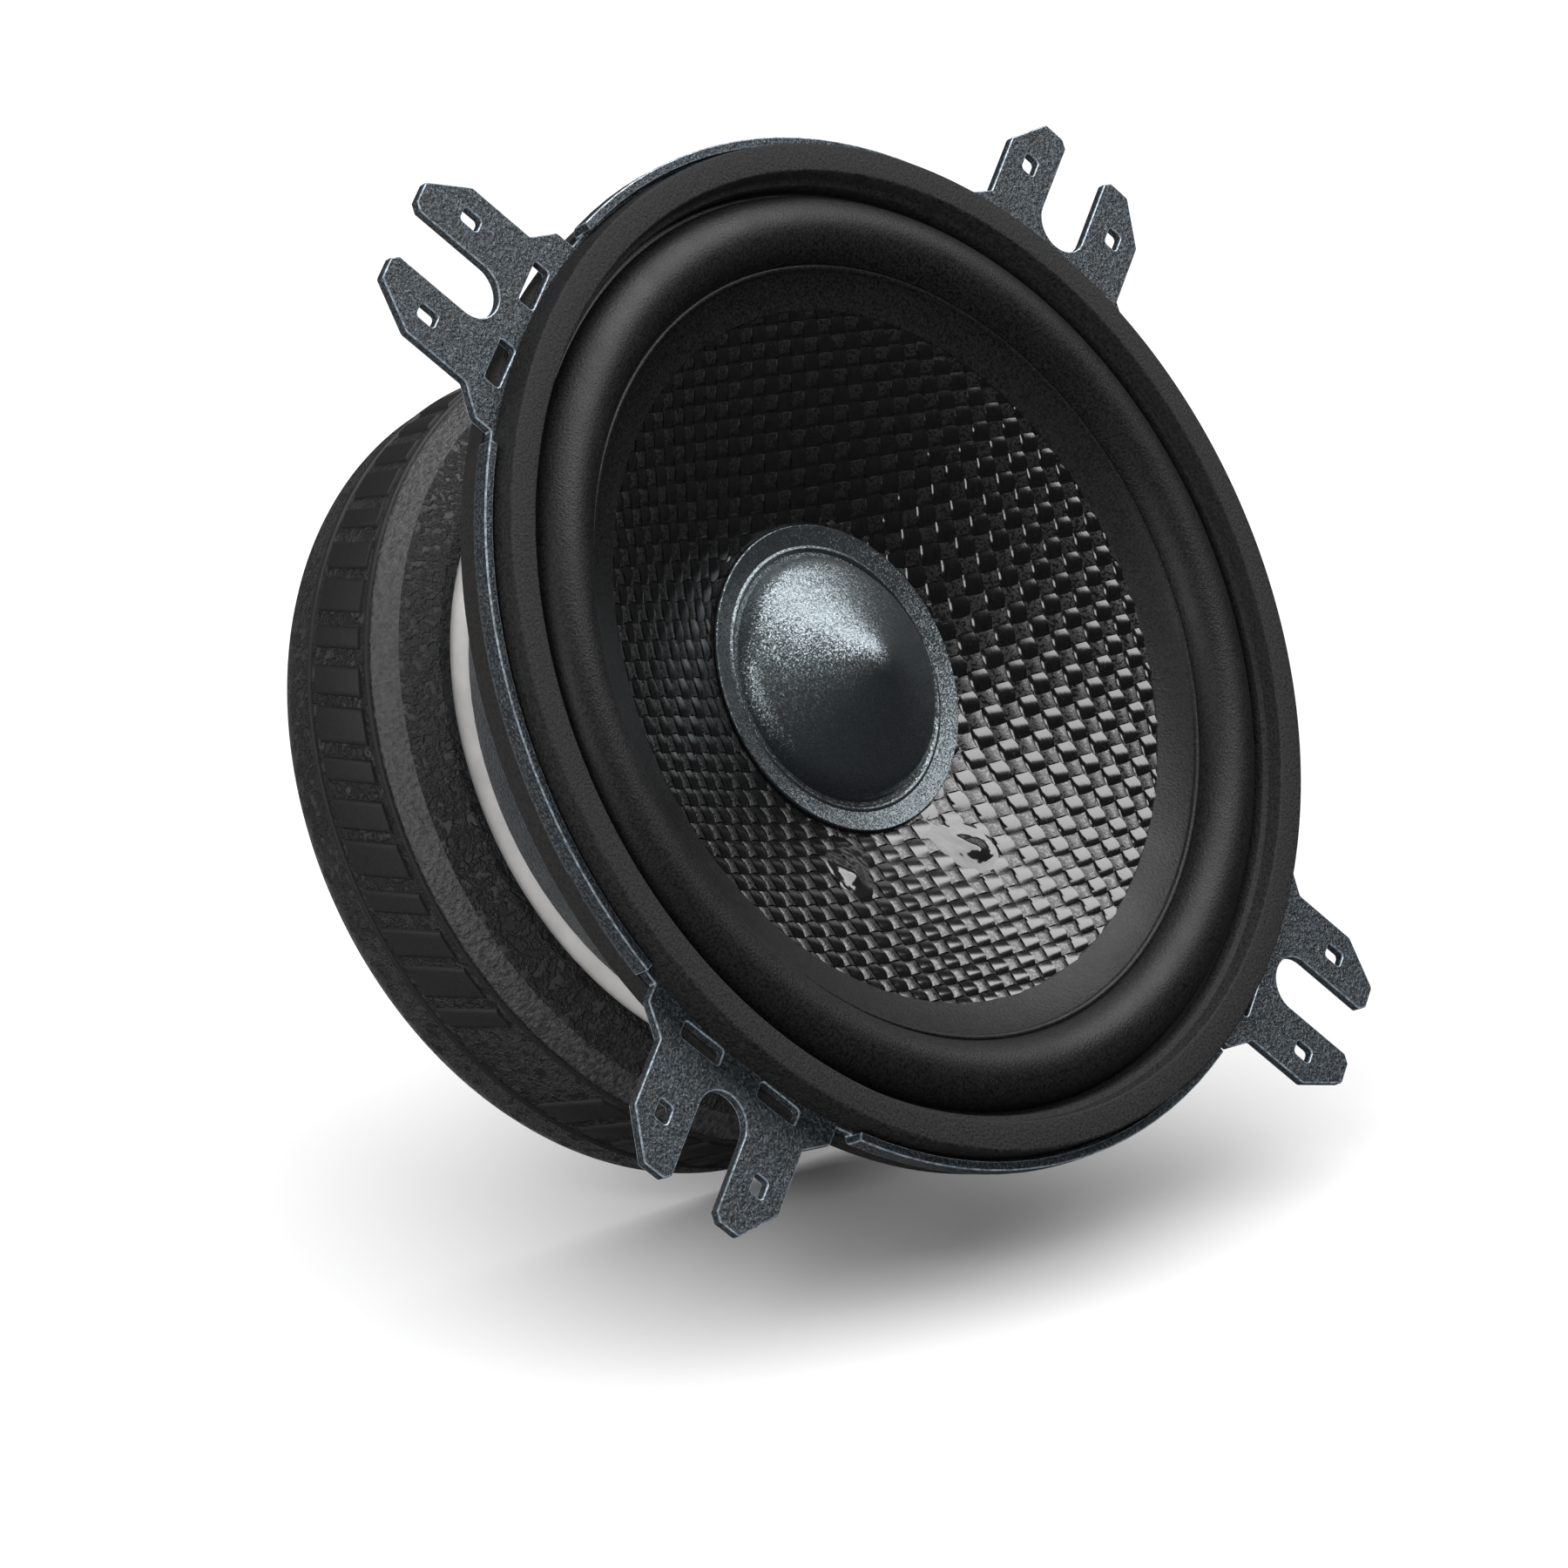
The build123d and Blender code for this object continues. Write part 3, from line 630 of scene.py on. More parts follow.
class SPEAKER_OT_surround(bpy.types.Operator):
    """Surround: half roll of thin rubber, with a bead where it meets the cone"""

    bl_idname = "speaker.surround"
    bl_label = "Surround"

    inner = 34.47                   # edge of the flange that lies on the cone
    edge_lift = 0.03                # between the cone and the flange's edge
    edge_round = 0.14
    roll = (38.55, 45.55)           # the half roll's two feet
    rise = 2.85
    bead = 0.33                     # the bead's radius at the roll's inner foot
    bead_in = 0.2                   # how far in from that foot its middle lies
    bead_turn = (165, 35)           # degrees where its arc starts and ends
    slope_end = (0.62, 0.12)        # where the flange meets it: in from the foot, and below it
    outer_flat = 0.35               # from the roll's outer foot to where the rubber lies flat
    trim = 2                        # degrees left off the roll's arc at each foot
    hold = 0.1                      # the rubber flexes from this far inside its feet

    def execute(self, context):
        middle = sum(self.roll) / 2
        half = (self.roll[1] - self.roll[0]) / 2
        radius = (half**2 + self.rise**2) / (2 * self.rise)
        centre = (middle, ROLL_FOOT + self.rise - radius)
        lean = degrees(acos(half / radius))
        outer = reach("surround")
        low_edge = cone_height(self.inner)
        slope_top = (self.roll[0] - self.slope_end[0], ROLL_FOOT - self.slope_end[1])
        bead_middle = (self.roll[0] - self.bead_in, ROLL_FOOT + SKIN)
        start, end = 180 - lean - self.trim, lean + self.trim
        front = [(self.inner, low_edge + self.edge_lift), (self.inner, low_edge + RUBBER), slope_top]
        front += arc(bead_middle, self.bead, *self.bead_turn, 8)
        front += arc(centre, radius, start, end - 0.5, 40)
        front += [(self.roll[1] + self.outer_flat, ROLL_FOOT), (outer, ROLL_FOOT), (outer, FLANGE + SKIN)]
        back = [(self.roll[1] - RUBBER + 0.05, FLANGE + SKIN)]
        back += arc(centre, radius - RUBBER, end, start, 32)
        back += [(self.roll[0] + RUBBER, FLANGE + 0.03), (bead_middle[0], FLANGE + 0.03)]
        steps = context.scene.speaker_sizes.turning_steps
        bm = turned(front + back, steps, {1: self.edge_round})
        piece = make_piece(
            "surround_half_roll", bm, [surround_material(context.scene.speaker_colours.rubber)],
            None, ["surround"], sharp=50)
        blend_by_radius(piece, still=self.roll[1] - self.hold, moving=self.roll[0] + self.hold)
        return {"FINISHED"}


class SPEAKER_OT_cone(bpy.types.Operator):
    """Cone: flat glass yarns woven over and under each other, pressed to the cone's flare"""

    bl_idname = "speaker.cone"
    bl_label = "Woven Cone"

    edge = 36.4                     # the cloth runs in under the surround and the dust cap
    mouth = 14.9
    # Half a yarn's outline across it, from its edge to its middle: shares of the pitch, then drop.
    side = ((0.5, -0.3), (0.47, -0.025), (0.25, 0.0))
    width = 0.97                    # of the pitch, where a yarn lies underneath
    bed = 0.3                       # height of the cloth's middle above the cone's bare shell
    steps = 6                       # faces along a yarn for each yarn it crosses
    draw_in = 5.9e-5                # how much the flat cloth draws in as it is pressed
    stretch = 1.09                  # and so how much wider the flat cloth is cut
    sway = 0.05                     # how far a yarn wanders sideways, as a share of the pitch
    sway_grain = (3.1, 1.7)         # along and across the yarns
    # Name, turn, extra width on top, height above the middle, finish with its dryness and
    # unevenness.
    ways = (
        ("warp", 45.0, -0.12, 0.0, "yarn_broken_resin", 0.5, 0.03),
        ("weft", -45.0, 0.14, 0.035, "yarn_smooth_resin", 0.33, 0.003),
    )

    def execute(self, context):
        sizes, colours = context.scene.speaker_sizes, context.scene.speaker_colours
        dress("cone", cone_back_material(colours.cloth, sizes.yarn_pitch / MM))
        for name, turn, spread, above, finish, dryness, unevenness in self.ways:
            material = yarn_material(finish, colours.cloth, dryness, unevenness)
            bm = self.yarns(turn, spread, above, sizes.yarn_pitch / MM, sizes.yarn_lift / MM)
            make_piece(f"cone_{name}_yarns", bm, [material], "moving_cone", sharp=60)
        return {"FINISHED"}

    def yarns(self, turn, spread, above, pitch, lift):
        """All the yarns that run one way, as open-bottomed strips with their flat cloth as UVs.

        A yarn is wider by the share spread where it lies on top. Above is its height over the
        middle of the cloth.
        """
        bm = bmesh.new()
        cloth = bm.loops.layers.uv.new("cloth")
        section = [(-share, drop) for share, drop in self.side] + list(self.side[::-1])
        rows = len(section) - 1
        flat_edge = self.edge * self.stretch
        count = int(flat_edge / pitch)
        for number in range(-count - 1, count + 1):
            across = (number + 0.5) * pitch
            if abs(across) > flat_edge:
                continue
            cells = int(sqrt(flat_edge**2 - across**2) / pitch) + 1
            grid = bmesh.ops.create_grid(
                bm, x_segments=2 * cells * self.steps, y_segments=rows, size=1)
            flip = (-1) ** number
            places = {}
            for vert in grid["verts"]:
                along = vert.co.x * cells * pitch
                shift, drop = section[round((vert.co.y + 1) / 2 * rows)]
                wave = flip * sin(pi * along / pitch)
                spot = Vector((along / self.sway_grain[0], across / self.sway_grain[1], turn))
                wander = self.sway * noise.noise(spot)
                width = self.width + spread * max(0.0, wave)
                across_there = across + (shift * width + wander) * pitch
                places[vert] = (along, across_there, lift * wave + drop)
            for vert, (x, y, rise) in places.items():
                vert.co = self.pressed(x, y, rise + self.bed + above, turn)
            for face in {face for vert in places for face in vert.link_faces}:
                for loop in face.loops:
                    x, y, _ = places[loop.vert]
                    loop[cloth].uv = (x * MM, y * MM)
        outside = [
            face for face in bm.faces
            if not self.mouth < face.calc_center_median().xy.length < self.edge]
        bmesh.ops.delete(bm, geom=outside, context="FACES")
        return bm

    def pressed(self, x, y, rise, turn):
        """Where a point of the flat cloth comes to lie on the cone."""
        draw = 1 - self.draw_in * (x * x + y * y)
        spun = Matrix.Rotation(radians(turn), 2) @ Vector((x * draw, y * draw))
        return spun.x, spun.y, cone_height(spun.length) + rise


class SPEAKER_OT_dust_cap(bpy.types.Operator):
    """Dust cap: blunt metal cone with a dished rim and a fine bead, cemented to the cone"""

    bl_idname = "speaker.dust_cap"
    bl_label = "Dust Cap"

    wall = 0.25
    slope = 27.7                    # degrees that the cap's flank falls
    nose = 4.0                      # radius of its blunt tip
    tip_turn = 82                   # degrees where the tip's arc starts
    shoulder = 10.1
    bulge = 0.42                    # how far the dome swells below its shoulder
    dome_foot = 12.3
    bed = 0.62                      # height of the rim above the cone
    # Outlines from the dome's foot outwards, as radius and height above the rim's bed.
    bead = ((12.75, -0.23), (12.98, 0.02), (13.12, 0.06), (13.26, 0.02), (13.42, -0.1))
    under = ((13.0, -0.48), (13.4, -0.35))
    lip = ((-0.1, 0.34), (0, 0.25))
    # The cement's outline: how far out from the rim, and how high above the cone.
    cement_rim = ((-0.35, 0.1), (-0.05, 0.5), (0.45, 0.55))
    cement_foot = ((0.95, 0.34), (1.35, 0.05), (1.3, -0.1))
    ragged = ((0.9, 0.42), (2.7, 0.22))     # how fine its edge's tongues are, and how long
    lumpy = (1.9, 0.16)             # how fine the lumps on it are, and how high

    def execute(self, context):
        steps = context.scene.speaker_sizes.turning_steps
        rim, tip = reach("dust_cap"), top("dust_cap")
        level = cone_height(rim) + self.bed
        groove = level + self.bead[0][1]
        front = self.dome(tip, groove, 0)
        front += [(radius, level + height) for radius, height in self.bead]
        front += [(rim + out, level + height) for out, height in self.lip]
        back = self.dome(tip, groove, self.wall)
        back += [(radius, level + height) for radius, height in self.under] + [(rim, level)]
        bm = turned(front + back[::-1], steps, closed=False)
        make_piece(
            "dust_cap_shell", bm, [cap_material(context.scene.speaker_colours.cap)],
            "moving_cone", ["dust_cap"], sharp=40)
        make_piece(
            "dust_cap_cement_bead", self.cement(rim, steps), [cement_material()],
            "moving_cone", ["dust_cap_cement"], sharp=60)
        return {"FINISHED"}

    def dome(self, tip, groove, inset):
        """Outline from the cap's tip to the groove at its foot."""
        nose = self.nose - inset
        centre = (0, tip - self.nose)
        points = [(0, tip - inset)] + arc(centre, nose, self.tip_turn, 90 - self.slope, 8)
        foot_radius, foot_height = points[-1]
        brow = foot_height - (self.shoulder - foot_radius) * tan(radians(self.slope))
        points.append((self.shoulder, brow))
        end = (self.dome_foot - 0.6 * inset, groove - inset)
        for share in (0.25, 0.5, 0.75, 1.0):
            swell = 4 * share * (1 - share) * self.bulge
            points.append((
                self.shoulder + (end[0] - self.shoulder) * share + swell,
                brow + (end[1] - brow) * share + swell / 2,
            ))
        return points

    def cement(self, rim, steps):
        """A ragged bead squeezed out round the rim."""
        outline = [(rim + out, cone_height(rim) + height) for out, height in self.cement_rim]
        outline += [(rim + out, cone_height(rim + out) + height) for out, height in self.cement_foot]
        bm = turned(outline, steps)
        fine, high = self.lumpy
        for vert in bm.verts:
            spread = sum(noise.noise(vert.co * often) * far for often, far in self.ragged)
            out = max(0.0, vert.co.xy.length - rim)
            vert.co.xy *= 1 + spread * out / vert.co.xy.length
            lump = noise.noise(vert.co * fine + Vector((7, 3, 1)))
            vert.co.z += lump * high * min(1.0, out * 2)
        return bm


class SPEAKER_OT_lead_dabs(bpy.types.Operator):
    """Dabs of clear cement over the two leads' eyelets"""

    bl_idname = "speaker.lead_dabs"
    bl_label = "Lead Dabs"

    eyelets = 20.6                  # radius at which the leads come through the cone
    blob, neck = 2.9, 1.3           # half widths
    outward, inward = 3.1, 4.6      # how far a dab runs from its middle
    shift = 0.2                     # how far its middle lies outwards of the eyelet
    uneven = (1.5, 0.1)             # how fine its outline's waves are, and their share of its width
    rise, belly = 0.42, 0.12        # how high it stands, and how deep it sinks in the cloth
    flank = 0.45                    # 1 is a round dome, and less has steeper sides, a flatter top
    bed = 0.16                      # height of its middle above the cone's bare shell
    # Small humps over the buried lead: (along, aside), spread, height.
    lumps = (((0.6, 0.1), 1.1, 0.55), ((-0.9, 0.5), 0.6, 0.16), ((-0.7, -0.9), 0.5, 0.12))
    # Name, turn about the cone, lean away from each other, place in the noise.
    dabs = (("positive", -22.0, 28.0, 0.0), ("negative", -68.0, -28.0, 3.0))

    def execute(self, context):
        material = dab_material()
        for name, angle, lean, seed in self.dabs:
            bm = self.teardrop(angle, lean, seed)
            make_piece(
                f"cement_dab_{name}", bm, [material],
                "moving_cone", [f"lead_dab_{name}"], sharp=70)
        return {"FINISHED"}

    def teardrop(self, angle, lean, seed):
        """A set drop: wide over the eyelet, and drawn out towards the dust cap."""
        bm = bmesh.new()
        bmesh.ops.create_uvsphere(bm, u_segments=72, v_segments=36, radius=1)
        turn = radians(angle)
        eyelet = Vector((self.eyelets * cos(turn), self.eyelets * sin(turn)))
        drawn = Matrix.Rotation(turn + radians(lean), 2)
        fine, share = self.uneven
        for vert in bm.verts:
            x, y, z = vert.co
            along = self.shift + (self.outward if x > 0 else self.inward) * x
            flat = y if x > 0 else y / sqrt(max(0.01, 1 - x * x))
            width = self.neck + (self.blob - self.neck) * eased(min(1.0, 1 + x))
            side = flat * width * (1 + share * noise.noise(Vector((x * fine, y * fine, seed))))
            dome = self.rise * z ** self.flank if z > 0 else self.belly * z
            for (ahead, aside), spread, height in self.lumps:
                apart = hypot(along - ahead, side - aside)
                dome += height * exp(-(apart / spread) ** 2) * (z > 0)
            place = eyelet + drawn @ Vector((along, side))
            vert.co = place.x, place.y, cone_height(place.length) + self.bed + dome
        bmesh.ops.recalc_face_normals(bm, faces=bm.faces)
        return bm


class SPEAKER_OT_boot(bpy.types.Operator):
    """Boot: grained rubber cup over the motor, with a band of raised bars between two rings"""

    bl_idname = "speaker.boot"
    bl_label = "Magnet Boot"

    wall = 41.2
    foot_round = 2.7
    wall_top = 15.1
    knee = (39.3, 17.3)             # the chamfer band runs from the wall's top to here
    shelf = (36.2, 19.35)
    mouth = 34.8
    top_rounds = (0.35, 0.3, 0.3)   # at the wall's top, the knee and the mouth
    fit = 0.1                       # room left round the motor
    ring_heights = (5.6, 14.6)
    ring_radius = 0.3
    bar_heights = (6.7, 13.5)
    bar_widths = (3.8, 2.5, 3.2)
    bar_groups = 3
    bar_start = 158.0
    bar_step = 6.2                  # degrees from one bar to the next
    bar_slant = 0.36                # how far a bar leans for each millimetre of its height
    bar_root = 0.5                  # how deep a bar runs into the wall
    bar_corner, bar_rim = 0.5, 0.1  # radii of a bar's corners and of its rim

    def execute(self, context):
        sizes, colours = context.scene.speaker_sizes, context.scene.speaker_colours
        rise, seat = top("magnet_boot"), top("top_plate") + SKIN
        plate, magnet = reach("top_plate") + self.fit, reach("ferrite_magnet") + self.fit
        inside = foot("back_plate_with_pole")
        outline = [(0, 0), (self.wall - self.foot_round, 0)]
        outline += arc((self.wall - self.foot_round, self.foot_round), self.foot_round, -80, 0, 9)
        first = len(outline)
        outline += [
            (self.wall, self.wall_top), self.knee, self.shelf, (self.mouth, rise),
            (self.mouth, seat), (plate, seat), (plate, foot("top_plate")),
            (magnet, foot("top_plate")), (magnet, inside), (0, inside),
        ]
        rounding = dict(zip((first, first + 1, first + 3), self.top_rounds))
        bm = turned(outline, sizes.turning_steps, rounding, closed=False)
        for face in bm.faces:
            middle = face.calc_center_median()
            between = self.wall_top + 0.05 < middle.z < self.knee[1] - 0.1
            face.material_index = int(between and middle.xy.length > self.knee[0] - 0.3)
        for height in self.ring_heights:
            outline = arc((self.wall, height), self.ring_radius, -90, 90, 6)
            self.join(bm, turned(outline, sizes.turning_steps))
        for group in range(self.bar_groups):
            for number in range(sizes.grip_bars):
                place = group * 360 / self.bar_groups + self.bar_start + number * self.bar_step
                width = self.bar_widths[number % len(self.bar_widths)]
                self.join(bm, self.bar(radians(place), width, sizes))
        materials = [
            boot_material(colours.rubber), boot_chamfer_material(colours.rubber),
            grip_bar_material(colours.rubber),
        ]
        make_piece("magnet_boot_cup", bm, materials, "frame", ["magnet_boot"], sharp=30)
        return {"FINISHED"}

    def bar(self, turn, width, sizes):
        """One slanted bar, bent round the boot's wall."""
        low, high = self.bar_heights
        lift = sizes.grip_bar_lift / MM
        bm = bmesh.new()
        bmesh.ops.create_cube(bm, size=1)
        bmesh.ops.scale(bm, verts=bm.verts, vec=(width, lift + self.bar_root, high - low))
        upright = [e for e in bm.edges if abs(e.verts[0].co.z - e.verts[1].co.z) > 1]
        bevelled(bm, upright, self.bar_corner, 3)
        rim = [e for e in bm.edges if all(v.co.y > lift / 2 for v in e.verts)]
        bevelled(bm, rim, self.bar_rim, 2)
        for vert in bm.verts:
            side = vert.co.x + self.bar_slant * vert.co.z
            angle = turn + side / self.wall
            radius = self.wall + vert.co.y + (lift - self.bar_root) / 2
            vert.co = radius * cos(angle), radius * sin(angle), vert.co.z + (low + high) / 2
        bmesh.ops.recalc_face_normals(bm, faces=bm.faces)
        return bm

    @staticmethod
    def join(bm, extra):
        """Add a bar or a ring to the boot's mesh, with the third of the boot's materials."""
        for face in extra.faces:
            face.material_index = 2
        loose = bpy.data.meshes.new("loose")
        extra.to_mesh(loose)
        extra.free()
        bm.from_mesh(loose)
        bpy.data.meshes.remove(loose)


class SPEAKER_OT_spider(bpy.types.Operator):
    """Spider: corrugated cloth disc that centres the voice coil"""

    bl_idname = "speaker.spider"
    bl_label = "Spider"

    first, last = 15.0, 35.0        # radii between which it is corrugated
    waves = 5
    wave_steps = 12
    turning_steps = 128
    swing = 0.95
    wall = 0.4

    def execute(self, context):
        inner, outer = reach("former_collar"), reach("spider")
        level = (top("spider") + foot("spider")) / 2
        line = [(inner + SKIN, level)]
        count = self.waves * self.wave_steps
        for step in range(count + 1):
            swing = self.swing * sin(2 * pi * self.waves * step / count)
            line.append((self.first + (self.last - self.first) * step / count, level + swing))
        line.append((outer, level))
        front = [(radius, height + self.wall / 2) for radius, height in line]
        back = [(radius, height - self.wall / 2) for radius, height in line]
        bm = turned(front + back[::-1], self.turning_steps)
        piece = make_piece(
            "spider_disc", bm, [spider_material()], None, ["spider"], sharp=60)
        blend_by_radius(piece, still=self.last, moving=inner + 0.3)
        return {"FINISHED"}


class SPEAKER_OT_leads(bpy.types.Operator):
    """Two short braided leads between the terminals and the cone's eyelets"""

    bl_idname = "speaker.leads"
    bl_label = "Tinsel Leads"

    routes = {
        "positive": ((30.89, -24.81, 37.73), (28.99, -22.91, 39.07), (24.27, -14.96, 33.9),
                     (20.4, -8.45, 33.79), (19.66, -8.14, 35.51)),
        "negative": ((24.81, -30.89, 37.73), (22.91, -28.99, 39.07), (14.76, -24.35, 33.9),
                     (8.09, -20.54, 33.79), (7.8, -19.8, 35.51)),
    }
    strands = 3
    lead_radius = 0.45
    strand_radius = 0.24
    strand_sides = 8
    lay = 2.4                       # length of lead in which a strand goes once round

    def execute(self, context):
        material = metal_material(
            "tinsel_braid_copper", (0.62, 0.42, 0.26), 0.4, metallic=0.8, grain=0.2, depth=0.02)
        for name, route in self.routes.items():
            points = self.smooth(route)
            bm = bmesh.new()
            for number in range(self.strands):
                self.strand(bm, points, 2 * pi * number / self.strands)
            bmesh.ops.recalc_face_normals(bm, faces=bm.faces)
            piece = make_piece(
                f"tinsel_braid_{name}", bm, [material], None,
                [f"tinsel_lead_{name}"], sharp=70)
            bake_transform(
                piece, "frame", "moving_cone",
                start=Vector(route[0]) * MM, end=Vector(route[-1]) * MM)
        return {"FINISHED"}

    @staticmethod
    def smooth(route):
        """Points along one smooth curve through the route."""
        curve = bpy.data.curves.new("route", "CURVE")
        curve.dimensions = "3D"
        spline = curve.splines.new("NURBS")
        spline.points.add(len(route) - 1)
        for point, place in zip(spline.points, route):
            point.co = (*place, 1)
        spline.order_u = 3
        spline.use_endpoint_u = True
        spline.resolution_u = 12
        carrier = bpy.data.objects.new("route", curve)
        mesh = bpy.data.meshes.new_from_object(carrier)
        points = [vertex.co.copy() for vertex in mesh.vertices]
        bpy.data.objects.remove(carrier)
        bpy.data.curves.remove(curve)
        bpy.data.meshes.remove(mesh)
        return points

    def strand(self, bm, points, start):
        """One strand that winds round the lead's line, closed at both ends."""
        offset = self.lead_radius - self.strand_radius
        rings, done = [], 0.0
        for number, point in enumerate(points):
            ahead = points[min(number + 1, len(points) - 1)]
            behind = points[max(number - 1, 0)]
            along = (ahead - behind).normalized()
            if number:
                done += (point - points[number - 1]).length
            side = along.cross(Vector((0, 0, 1))).normalized()
            other = along.cross(side)
            angle = start + 2 * pi * done / self.lay
            centre = point + (side * cos(angle) + other * sin(angle)) * offset
            ring = bmesh.ops.create_circle(
                bm, segments=self.strand_sides, radius=self.strand_radius)["verts"]
            turn = Matrix((side, other, along)).transposed().to_4x4()
            bmesh.ops.transform(bm, matrix=Matrix.Translation(centre) @ turn, verts=ring)
            rings.append(ring)
        loops = [list(dict.fromkeys(e for v in ring for e in v.link_edges)) for ring in rings]
        for here, there in zip(loops, loops[1:]):
            bmesh.ops.bridge_loops(bm, edges=here + there)
        for ring in (rings[0], rings[-1]):
            bm.faces.new(ring)


class SPEAKER_OT_frame_finishes(bpy.types.Operator):
    """Finishes for the motor, coil and terminal pieces that keep the frame's shapes"""

    bl_idname = "speaker.frame_finishes"
    bl_label = "Motor and Terminal Finishes"

    def execute(self, context):
        zinc = metal_material(
            "zinc_plate_satin", (0.93, 0.91, 0.89), 0.5, metallic=0.0, grain=0.25, depth=0.004)
        steel = metal_material("plated_steel", (0.55, 0.55, 0.55), 0.35)
        aluminium = metal_material("former_aluminium", (0.8, 0.8, 0.82), 0.3)
        brass = metal_material("brass_bright", (0.75, 0.55, 0.24), 0.28)
        tinned = metal_material("tinned_brass_satin", (0.72, 0.7, 0.66), 0.3)
        solder = metal_material("solder_dull", (0.6, 0.6, 0.62), 0.38, grain=0.6, depth=0.02)
        finishes = {
            "top_plate": zinc, "back_plate_with_pole": steel, "frame_rivets": steel,
            "ferrite_magnet": ferrite_material(), "voice_coil_former": aluminium,
            "voice_coil_winding": winding_material(), "former_collar": paper_material(),
            "lead_eyelets": brass, "terminal_rivets": brass, "terminal_board": board_material(),
            "terminal_positive": tinned, "terminal_negative": tinned, "solder_joints": solder,
        }
        for node, material in finishes.items():
            dress(node, material)
        return {"FINISHED"}


class SPEAKER_OT_studio(bpy.types.Operator):
    """Pale floor, soft lights and the camera"""

    bl_idname = "speaker.studio"
    bl_label = "Studio"

    target = Vector((-8.79, -24.59, 48.0)) * MM
    sensor = 36                     # the camera's width of film, in millimetres
    near = 10 * MM                  # the camera sees nothing closer than this
    tilt = 15.0                     # how far the camera looks down on the floor, in degrees
    clearance = 2 * MM              # between the floor and the speaker
    floor_reach = 3                 # metres from the floor's middle to its edge
    sky_spread = 110                # degrees of sky that light the floor
    # Soft boxes: name, metres to the camera's right, up and back, size, share of the power, and
    # whether it lights the floor too.
    soft_boxes = (
        ("overhead", (0.4, 0.74, 0.14), (0.8, 0.64), 1.0, False),
        ("front_fill", (-0.3, 0.15, 0.94), (0.5, 0.5), 0.5, True),
        ("left_fill", (-0.8, 0.3, 0.3), (0.6, 0.6), 0.2, False),
        ("rear_fill", (-0.5713, -0.3785, -1.1621), (1.0, 1.0), 0.2, False),
    )

    def execute(self, context):
        settings = context.scene.speaker_studio
        right, up, back = self.camera_axes(settings)
        self.camera(context, settings, right, up, back)
        lean = radians(self.tilt)
        upwards = up * cos(lean) + back * sin(lean)
        floor = self.floor(context, right, upwards)
        axes = Matrix((right, up, back)).transposed()
        speaker_only = []
        for name, place, size, share, on_floor in self.soft_boxes:
            power = settings.key_power * share
            light = self.soft_box(context, name, axes @ Vector(place), right, size, power)
            if not on_floor:
                speaker_only.append(light)
        sky = self.sky(context, upwards, settings.sky_strength)
        self.share_lights(floor, speaker_only, sky)
        self.room(context, settings.world_strength)
        return {"FINISHED"}

    @staticmethod
    def camera_axes(settings):
        """The camera's right, up and backward directions."""
        a, e, r = settings.azimuth, settings.elevation, settings.roll
        back = Vector((sin(a) * cos(e), -cos(a) * cos(e), sin(e)))
        level = Vector((cos(a), sin(a), 0))
        right = level * cos(r) + back.cross(level) * sin(r)
        return right, back.cross(right), back

    def camera(self, context, settings, right, up, back):
        camera = bpy.data.objects.new("camera", bpy.data.cameras.new("camera"))
        context.scene.collection.objects.link(camera)
        camera.data.lens = settings.lens
        camera.data.sensor_width = self.sensor
        camera.data.clip_start = self.near
        turn = Matrix((right, up, back)).transposed().to_4x4()
        camera.matrix_world = Matrix.Translation(self.target + back * settings.distance) @ turn
        context.scene.camera = camera

    def floor(self, context, right, upwards):
        """A pale floor just under the speaker, seen from above only."""
        lowest = min(
            vertex.co.dot(upwards) for node in ("basket", "magnet_boot")
            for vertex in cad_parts[node].data.vertices)
        bm = bmesh.new()
        bmesh.ops.create_grid(bm, x_segments=1, y_segments=1, size=self.floor_reach)
        turn = Matrix((right, upwards.cross(right), upwards)).transposed().to_4x4()
        drop = Matrix.Translation(upwards * (lowest - self.clearance))
        bmesh.ops.transform(bm, matrix=drop @ turn, verts=bm.verts)
        mesh = bpy.data.meshes.new("floor")
        bm.to_mesh(mesh)
        bm.free()
        floor = bpy.data.objects.new("floor", mesh)
        floor.visible_glossy = False    # so the black parts don't mirror the white floor
        context.scene.collection.objects.link(floor)
        finish = Finish("floor_white", (0.8, 0.8, 0.8), 0.8)
        clear = finish.node("ShaderNodeBsdfTransparent", {}).outputs[0]
        behind = finish.node("ShaderNodeNewGeometry", {}).outputs["Backfacing"]
        mix = finish.node("ShaderNodeMixShader", {0: behind, 1: finish.shader.outputs[0], 2: clear})
        finish.put(finish.tree.nodes["Material Output"].inputs["Surface"], mix.outputs[0])
        mesh.materials.append(finish.material)
        return floor

    @staticmethod
    def soft_box(context, name, place, level, size, power):
        """A flat rectangular light that faces the speaker, its long side level."""
        light = bpy.data.objects.new(name, bpy.data.lights.new(name, "AREA"))
        light.data.shape = "RECTANGLE"
        light.data.size, light.data.size_y = size
        light.data.energy = power
        context.scene.collection.objects.link(light)
        outwards = place.normalized()
        across = (level - outwards * level.dot(outwards)).normalized()
        turn = Matrix((across, outwards.cross(across), outwards)).transposed().to_4x4()
        light.matrix_world = Matrix.Translation(place) @ turn
        return light

    def sky(self, context, upwards, strength):
        """A very soft light from straight above the floor."""
        light = bpy.data.objects.new("sky", bpy.data.lights.new("sky", "SUN"))
        light.data.energy = strength
        light.data.angle = radians(self.sky_spread)
        context.scene.collection.objects.link(light)
        light.matrix_world = upwards.to_track_quat("Z", "Y").to_matrix().to_4x4()
        return light

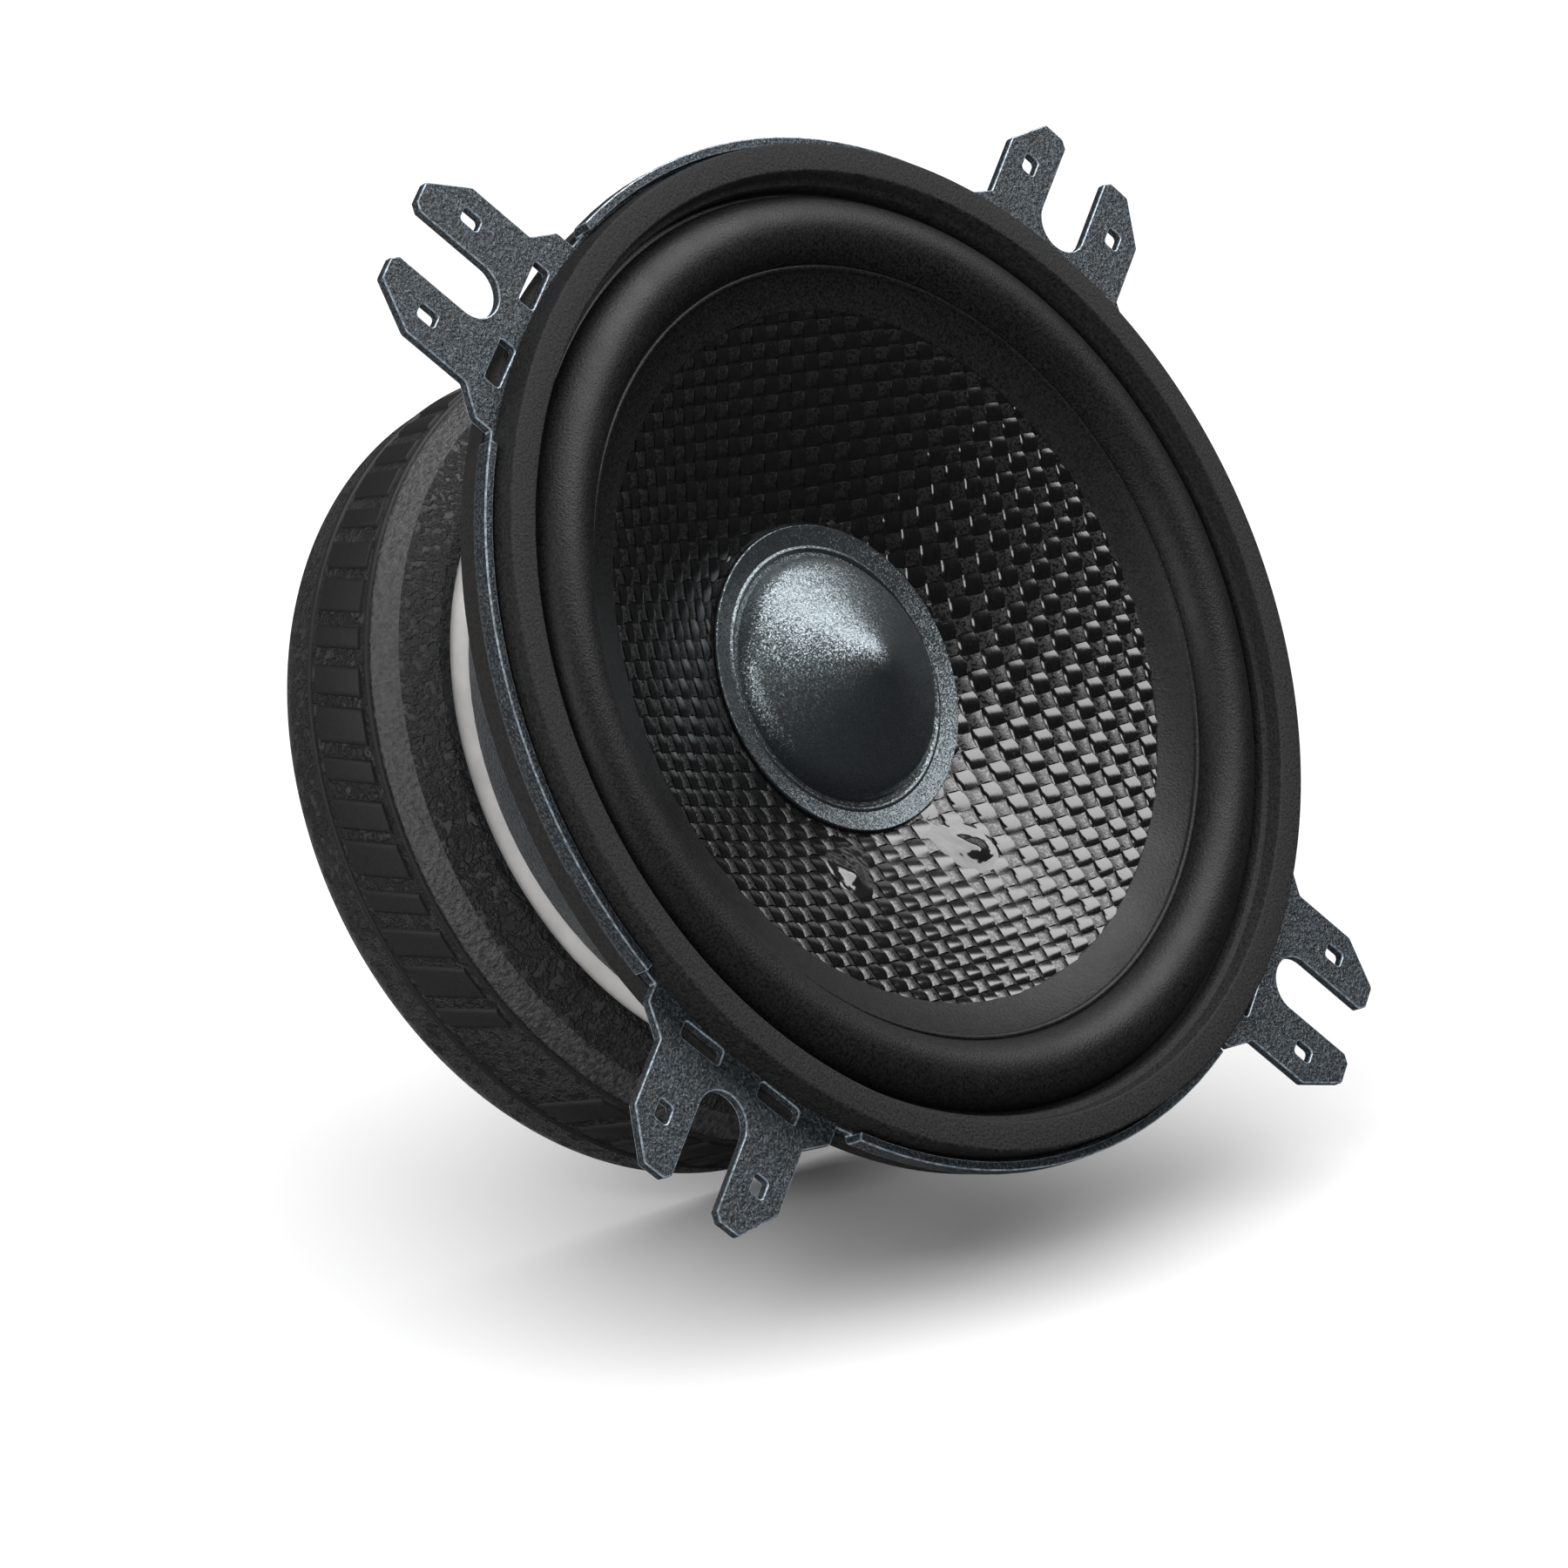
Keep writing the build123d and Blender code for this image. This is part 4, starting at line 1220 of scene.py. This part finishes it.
    @staticmethod
    def share_lights(floor, speaker_only, sky):
        """Keep the sky's light off the speaker, and some of the soft boxes off the floor."""
        only_floor = bpy.data.collections.new("lit_from_above")
        only_floor.objects.link(floor)
        sky.light_linking.receiver_collection = only_floor
        not_floor = bpy.data.collections.new("not_lit_by_soft_boxes")
        not_floor.objects.link(floor)
        not_floor.collection_objects[0].light_linking.link_state = "EXCLUDE"
        for light in speaker_only:
            light.light_linking.receiver_collection = not_floor

    @staticmethod
    def room(context, strength):
        """White surroundings, dimmer as a light than they look."""
        world = bpy.data.worlds.new("room")
        world.use_nodes = True
        tree = world.node_tree
        light = tree.nodes["Background"]
        light.inputs["Color"].default_value = (1, 1, 1, 1)
        light.inputs["Strength"].default_value = strength
        seen = tree.nodes.new("ShaderNodeBackground")
        seen.inputs["Color"].default_value = (1, 1, 1, 1)
        mix = tree.nodes.new("ShaderNodeMixShader")
        path = tree.nodes.new("ShaderNodeLightPath")
        tree.links.new(path.outputs["Is Camera Ray"], mix.inputs[0])
        tree.links.new(light.outputs[0], mix.inputs[1])
        tree.links.new(seen.outputs[0], mix.inputs[2])
        tree.links.new(mix.outputs[0], tree.nodes["World Output"].inputs["Surface"])
        context.scene.world = world
        context.scene.view_settings.view_transform = "Standard"


# ---------------------------------------------------------------- panel and running
BUILDERS = (
    SPEAKER_OT_basket, SPEAKER_OT_front_gasket, SPEAKER_OT_rear_gasket, SPEAKER_OT_surround,
    SPEAKER_OT_cone, SPEAKER_OT_dust_cap, SPEAKER_OT_lead_dabs, SPEAKER_OT_boot,
    SPEAKER_OT_spider, SPEAKER_OT_leads, SPEAKER_OT_frame_finishes, SPEAKER_OT_studio,
)
SETTINGS = {
    "speaker_sizes": SpeakerSizes,
    "speaker_colours": SpeakerColours,
    "speaker_studio": StudioSettings,
}


class SPEAKER_PT_panel(bpy.types.Panel):
    """Lists the pieces to build and what can be changed"""

    bl_idname = "SPEAKER_PT_panel"
    bl_label = "Car Midwoofer"
    bl_space_type = "VIEW_3D"
    bl_region_type = "UI"
    bl_category = "Speaker"

    def draw(self, context):
        for builder in BUILDERS:
            self.layout.operator(builder.bl_idname)
        for name in SETTINGS:
            box = self.layout.box()
            group = getattr(context.scene, name)
            for prop in group.bl_rna.properties:
                if prop.identifier not in {"rna_type", "name"}:
                    box.prop(group, prop.identifier)


def register():
    for group in SETTINGS.values():
        bpy.utils.register_class(group)
    for builder in BUILDERS:
        bpy.utils.register_class(builder)
    bpy.utils.register_class(SPEAKER_PT_panel)
    for name, group in SETTINGS.items():
        setattr(bpy.types.Scene, name, PointerProperty(type=group))


def unregister():
    for name in SETTINGS:
        delattr(bpy.types.Scene, name)
    bpy.utils.unregister_class(SPEAKER_PT_panel)
    for builder in reversed(BUILDERS):
        bpy.utils.unregister_class(builder)
    for group in SETTINGS.values():
        bpy.utils.unregister_class(group)


def main():
    register()
    for builder in BUILDERS:
        area, name = builder.bl_idname.split(".")
        getattr(getattr(bpy.ops, area), name)()
    bpy.context.view_layer.update()


if __name__ == "__main__":
    main()
